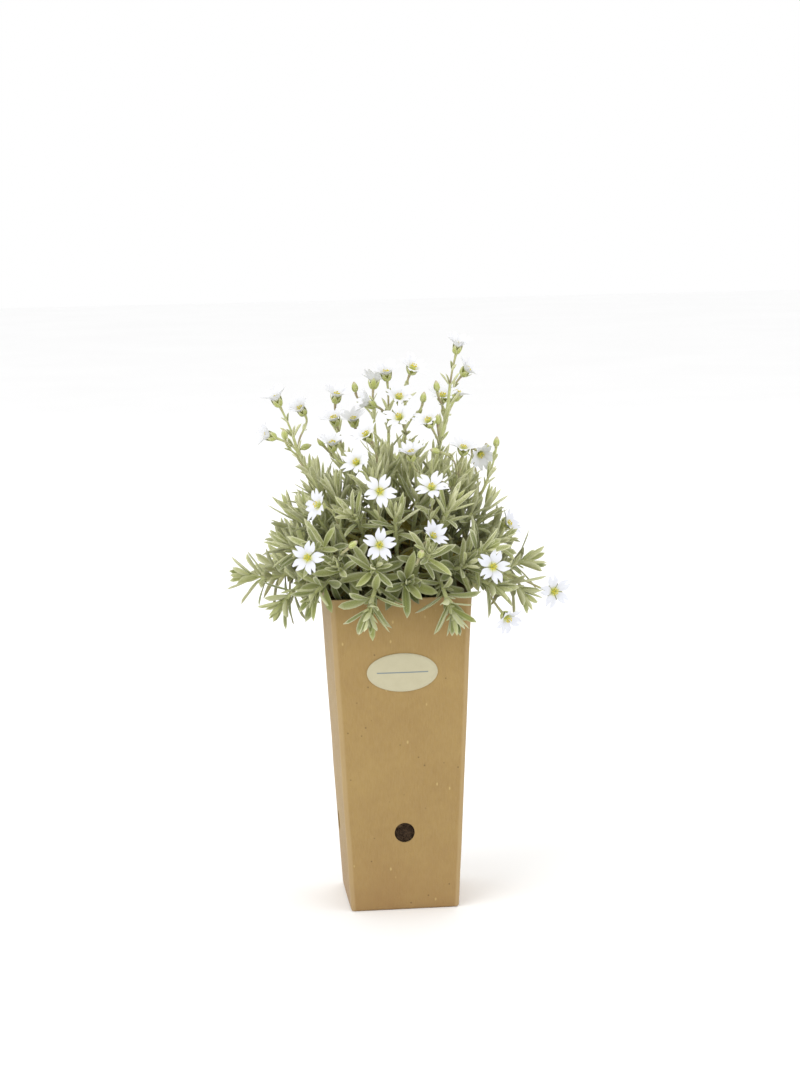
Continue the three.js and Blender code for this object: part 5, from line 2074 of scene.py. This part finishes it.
@dataclass(frozen=True)
class Carton:
    """The open kraft-board carton with its round side holes."""

    rim_wave: float = 0.25
    rim_round: float = 0.35
    rim_highlight: float = 0.6
    flat_below: float = 30
    foot_step: float = 0.5
    foot_inset: float = 0.35
    inner_inset: float = 0.4
    smooth_angle: float = radians(38)
    heights: tuple[float, ...] = (
        4, 8, 12, 17, 22, 27, 32, 40, 50, 62, 75, 90, 105, 120, 135, 148, 160, 170, 177,
    )

    def skin_ring(self, z: float, offset: float) -> Spots:
        """A ring of the board with its unevenness, which fades towards the foot."""
        deep = POT.dent * min(z / self.flat_below, 1)
        return [(dent(point, deep), fold) for point, fold in pot_ring(z, offset)]

    def rim_ring(self, drop: float, offset: float) -> Spots:
        """A ring of the rim, which waves a little.

        Args:
            drop: How far it lies below the rim's top.
            offset: How far it is moved out.

        Returns:
            The ring.
        """
        made = []
        for point, fold in self.skin_ring(POT.height - drop, offset):
            wave = noise.noise(Vector((point.x, point.y, 50)) / 18.0) * self.rim_wave - self.rim_wave
            # The rim takes at least this much of the fold mark, so the board finish paints its highlight
            # along the rim too.
            made.append((point + Vector((0, 0, wave)), max(fold, self.rim_highlight)))
        return made

    def build(self, finish: Material) -> None:
        """Builds the piece and seats it."""
        board = POT.board
        rings = [
            pot_ring(0, -POT.crease_inset),
            pot_ring(self.foot_step, -self.foot_inset),
            pot_ring(POT.crease_height, 0),
            *(self.skin_ring(z, 0) for z in self.heights),
            self.rim_ring(self.rim_round, 0),
            self.rim_ring(0, -board * 0.3),
            self.rim_ring(0, -board * 0.7),
            self.rim_ring(self.rim_round, -board),
            *(self.skin_ring(z, -board) for z in reversed(self.heights)),
            pot_ring(board, -board - self.inner_inset),
        ]
        piece = new_object("carton_board", skin_mesh("carton_board", "fold", rings, finish))
        self.bore(piece)
        piece.data.set_sharp_from_angle(angle=self.smooth_angle)
        seat(piece, "kraft_card", "carton")

    def bore(self, piece: Object) -> None:
        """Cuts the round hole through each side."""
        for turn in (0, pi / 2):
            shape = bmesh.new()
            place = Matrix.Translation((0, 0, POT.hole_height * MM))
            place = place @ Matrix.Rotation(turn, 4, "Z") @ Matrix.Rotation(pi / 2, 4, "X")
            bmesh.ops.create_cone(shape, cap_ends=True, segments=40, radius1=POT.hole_radius * MM,
                                  radius2=POT.hole_radius * MM, depth=4 * POT.rim_half * MM, matrix=place)
            cutter = new_object("bore", bpy.data.meshes.new("bore"))
            shape.to_mesh(cutter.data)
            shape.free()
            modifier = piece.modifiers.new("bore", "BOOLEAN")
            modifier.operation, modifier.object, modifier.solver = "DIFFERENCE", cutter, "EXACT"
            cut = plain_mesh(piece)
            piece.modifiers.clear()
            piece.data = cut
            bpy.data.objects.remove(cutter)
        piece.data.shade_smooth()


@dataclass(frozen=True)
class Label:
    """The oval label on the front side."""

    round_steps: int = 64
    ring_steps: int = 8
    edge_drop: float = 0.1
    edge_share: float = 0.995

    def point(self, share: float, around: float, lift: float) -> Vector:
        """A point of the label, which lies on the bulging front.

        Args:
            share: How far out it is, from 0 in the middle to 1 at the edge.
            around: Where it is round the middle, in radians.
            lift: How far it stands off the board.

        Returns:
            The point in millimetres.
        """
        x = share * POT.label_width / 2 * cos(around)
        z = POT.label_centre + share * POT.label_height / 2 * sin(around)
        straight = POT.half_at(z) - POT.fold
        bulge = POT.bulge_at(z) * (1 - (x / straight) ** 2)
        on_board = dent(Vector((x, -(POT.half_at(z) + bulge), z)), POT.dent)
        return on_board + Vector((0, -lift, 0))

    def build(self, finish: Material) -> None:
        """Builds the piece and seats it."""
        turns = [tau * i / self.round_steps for i in range(self.round_steps)]
        low, high = POT.label_lift, POT.label_lift + POT.label_thick
        shares = [i / self.ring_steps for i in range(1, self.ring_steps)]
        layers = [*((share, low) for share in shares), (1.0, low), (1.0, high - self.edge_drop),
                  (self.edge_share, high), *((share, high) for share in reversed(shares))]
        rings = [[(self.point(share, turn, lift), share) for turn in turns] for share, lift in layers]
        mesh = skin_mesh("label_oval", "share", rings, finish)
        mesh.shade_smooth()
        seat(new_object("label_oval", mesh), "label_paper", "label")


@dataclass(frozen=True)
class Soil:
    """The peat that fills the pot, crumbly on top and where the holes bare it."""

    crumbs_per_mm2: float = 0.16
    crumb_radius: float = 1.0
    hump: float = 1.6
    top_shares: tuple[float, ...] = (0.97, 0.9, 0.8, 0.7, 0.6, 0.5, 0.4, 0.3, 0.2, 0.1)
    hole_bare: float = 7.5
    wall_gap: float = 0.9
    foot_inset: float = 0.6
    shoulder: float = 2.0

    def bare_at(self, point: Vector) -> float:
        """1 where the soil shows, on top and behind the side holes, and 0 elsewhere."""
        if point.z > POT.soil_top - 1:
            return 1.0
        rise = point.z - POT.hole_height
        return 1.0 if any(hypot(level, rise) < self.hole_bare for level in (point.x, point.y)) else 0.0

    def wall_ring(self, z: float, inset: float = 0.0) -> Spots:
        """A ring of the soil's side."""
        ring = pot_ring(z, -POT.board - self.wall_gap - inset, per_side=24)
        return [(point, self.bare_at(point)) for point, _ in ring]

    def top_ring(self, share: float) -> Spots:
        """A ring of the uneven top, at a share of the way out."""
        made = []
        for point, _ in self.wall_ring(POT.soil_top - self.shoulder):
            place = Vector((point.x * share, point.y * share, POT.soil_top))
            hump = noise.noise(place / 7.0) * self.hump - self.hump * 0.5
            made.append((place + Vector((0, 0, hump)), 1.0))
        return made

    def build(self, shop: Workshop) -> None:
        """Builds the piece and seats it."""
        heights = [6, 14, 24, *range(34, 60, 3), 80, 110, 140, 160, POT.soil_top - 2.5]
        rings = [self.wall_ring(POT.board + POT.gap, self.foot_inset), *(self.wall_ring(z) for z in heights),
                 *(self.top_ring(share) for share in self.top_shares)]
        body = skin_mesh("soil_peat", "bare", rings, shop.peat)
        body.shade_smooth()
        values = {"Density": self.crumbs_per_mm2 / MM**2, "Radius": self.crumb_radius * MM, "Seed": 3,
                  "Material": shop.peat}
        seat(join_meshes("soil_peat", [body, shop.crumb.apply(body.copy(), values)]), "soil", "soil")


# The studio
@dataclass(frozen=True)
class Lamp:
    """A soft square light: where it is in metres, its side, its strength and its colour."""

    name: str
    place: tuple[float, float, float]
    side: float
    watts: float
    colour: Colour = (1, 1, 1)


@dataclass(frozen=True)
class Studio:
    """A pale floor, soft lights and the camera of the photograph."""

    lamps: tuple[Lamp, ...] = (
        Lamp("key", (-1.5, -1.3, 2.2), 1.8, 22),
        Lamp("fill", (1.6, -1.5, 1.0), 1.8, 6),
        Lamp("rim", (0.3, 1.7, 1.7), 1.6, 8),
    )
    world_strength: float = 1.0
    floor_half: float = 8.0
    aim_height: float = 150 * MM
    distance: float = 1400 * MM
    elevation: float = 10.5
    azimuth: float = 5.6
    roll: float = 1.09
    photo_height: float = 1067
    focal_pixels: float = 2431.6
    off_centre: tuple[float, float] = (5.0, 107.7)
    sensor: float = 36.0

    def floor(self) -> None:
        """Lays the pale floor."""
        mesh = bpy.data.meshes.new("floor")
        half = self.floor_half
        corners = [(-half, -half, 0), (half, -half, 0), (half, half, 0), (-half, half, 0)]
        mesh.from_pydata(corners, [], [(0, 1, 2, 3)])
        finish = Finish("floor", 0.9, specular=0.1)
        cloud = finish.clouds(3.0, 0.35, 0.65)
        finish.set("Base Color", finish.nodes.mix(cloud, (0.965, 0.965, 0.965), (0.98, 0.98, 0.98)))
        mesh.materials.append(finish.material)
        new_object("floor", mesh)

    def lights(self) -> None:
        """Hangs the lights, each turned to the plant, in a pale surround."""
        for lamp in self.lamps:
            light = bpy.data.lights.new(lamp.name, "AREA")
            light.size, light.energy, light.color = lamp.side, lamp.watts, lamp.colour
            holder = new_object(lamp.name, light)
            holder.location = lamp.place
            towards = Vector((0, 0, self.aim_height)) - Vector(lamp.place)
            holder.rotation_euler = towards.to_track_quat("-Z", "Y").to_euler()
        world = bpy.data.worlds.new("studio")
        world.use_nodes = True
        back = world.node_tree.nodes["Background"]
        back.inputs[0].default_value = (1, 1, 1, 1)
        back.inputs[1].default_value = self.world_strength
        bpy.context.scene.world = world
        bpy.context.scene.view_settings.view_transform = "Standard"

    def camera(self) -> None:
        """Sets the camera where the photograph was taken from, looking at the middle of its frame."""
        back = Vector(facing(-self.azimuth, self.elevation))
        right = (-back).cross(Vector((0, 0, 1))).normalized()
        up = right.cross(-back)
        roll = radians(self.roll)
        off_x, off_y = self.off_centre
        x = cos(roll) * off_x + sin(roll) * off_y
        y = -sin(roll) * off_x + cos(roll) * off_y
        look = (-back * self.focal_pixels + right * x + up * y).normalized()
        right = look.cross(Vector((0, 0, 1))).normalized()
        up = right.cross(look)
        rolled_right = right * cos(roll) - up * sin(roll)
        rolled_up = right * sin(roll) + up * cos(roll)
        data = bpy.data.cameras.new("photo_camera")
        data.lens = self.focal_pixels / self.photo_height * self.sensor
        data.sensor_width = self.sensor
        camera = new_object("photo_camera", data)
        place = Matrix((rolled_right, rolled_up, -look)).transposed().to_4x4()
        place.translation = Vector((0, 0, self.aim_height)) + back * self.distance
        camera.matrix_world = place
        bpy.context.scene.camera = camera

    def build(self) -> None:
        """Sets the whole studio."""
        self.camera()
        self.floor()
        self.lights()


def main() -> None:
    """Builds the pot, the plant and the studio round the frame."""
    logging.basicConfig(level=logging.INFO, format="%(name)s: %(message)s")
    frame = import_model()
    LOG.info("frame: %d solids", len(frame["nodes"]))
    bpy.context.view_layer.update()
    plant = Plant()
    plant.fill_in()
    shop = Workshop()
    Carton().build(KraftBoard().make())
    Label().build(LabelPaper().make())
    Soil().build(shop)
    for number, tuft in enumerate(plant.tufts):
        Foliage(tuft, number).build(shop)
    for number, spray in enumerate(plant.sprays):
        FlowerStem(spray, number).build(shop)
    for number, head in enumerate(plant.blooms):
        Flower(head, number).build(shop)
    Studio().build()


if __name__ == "__main__":
    main()
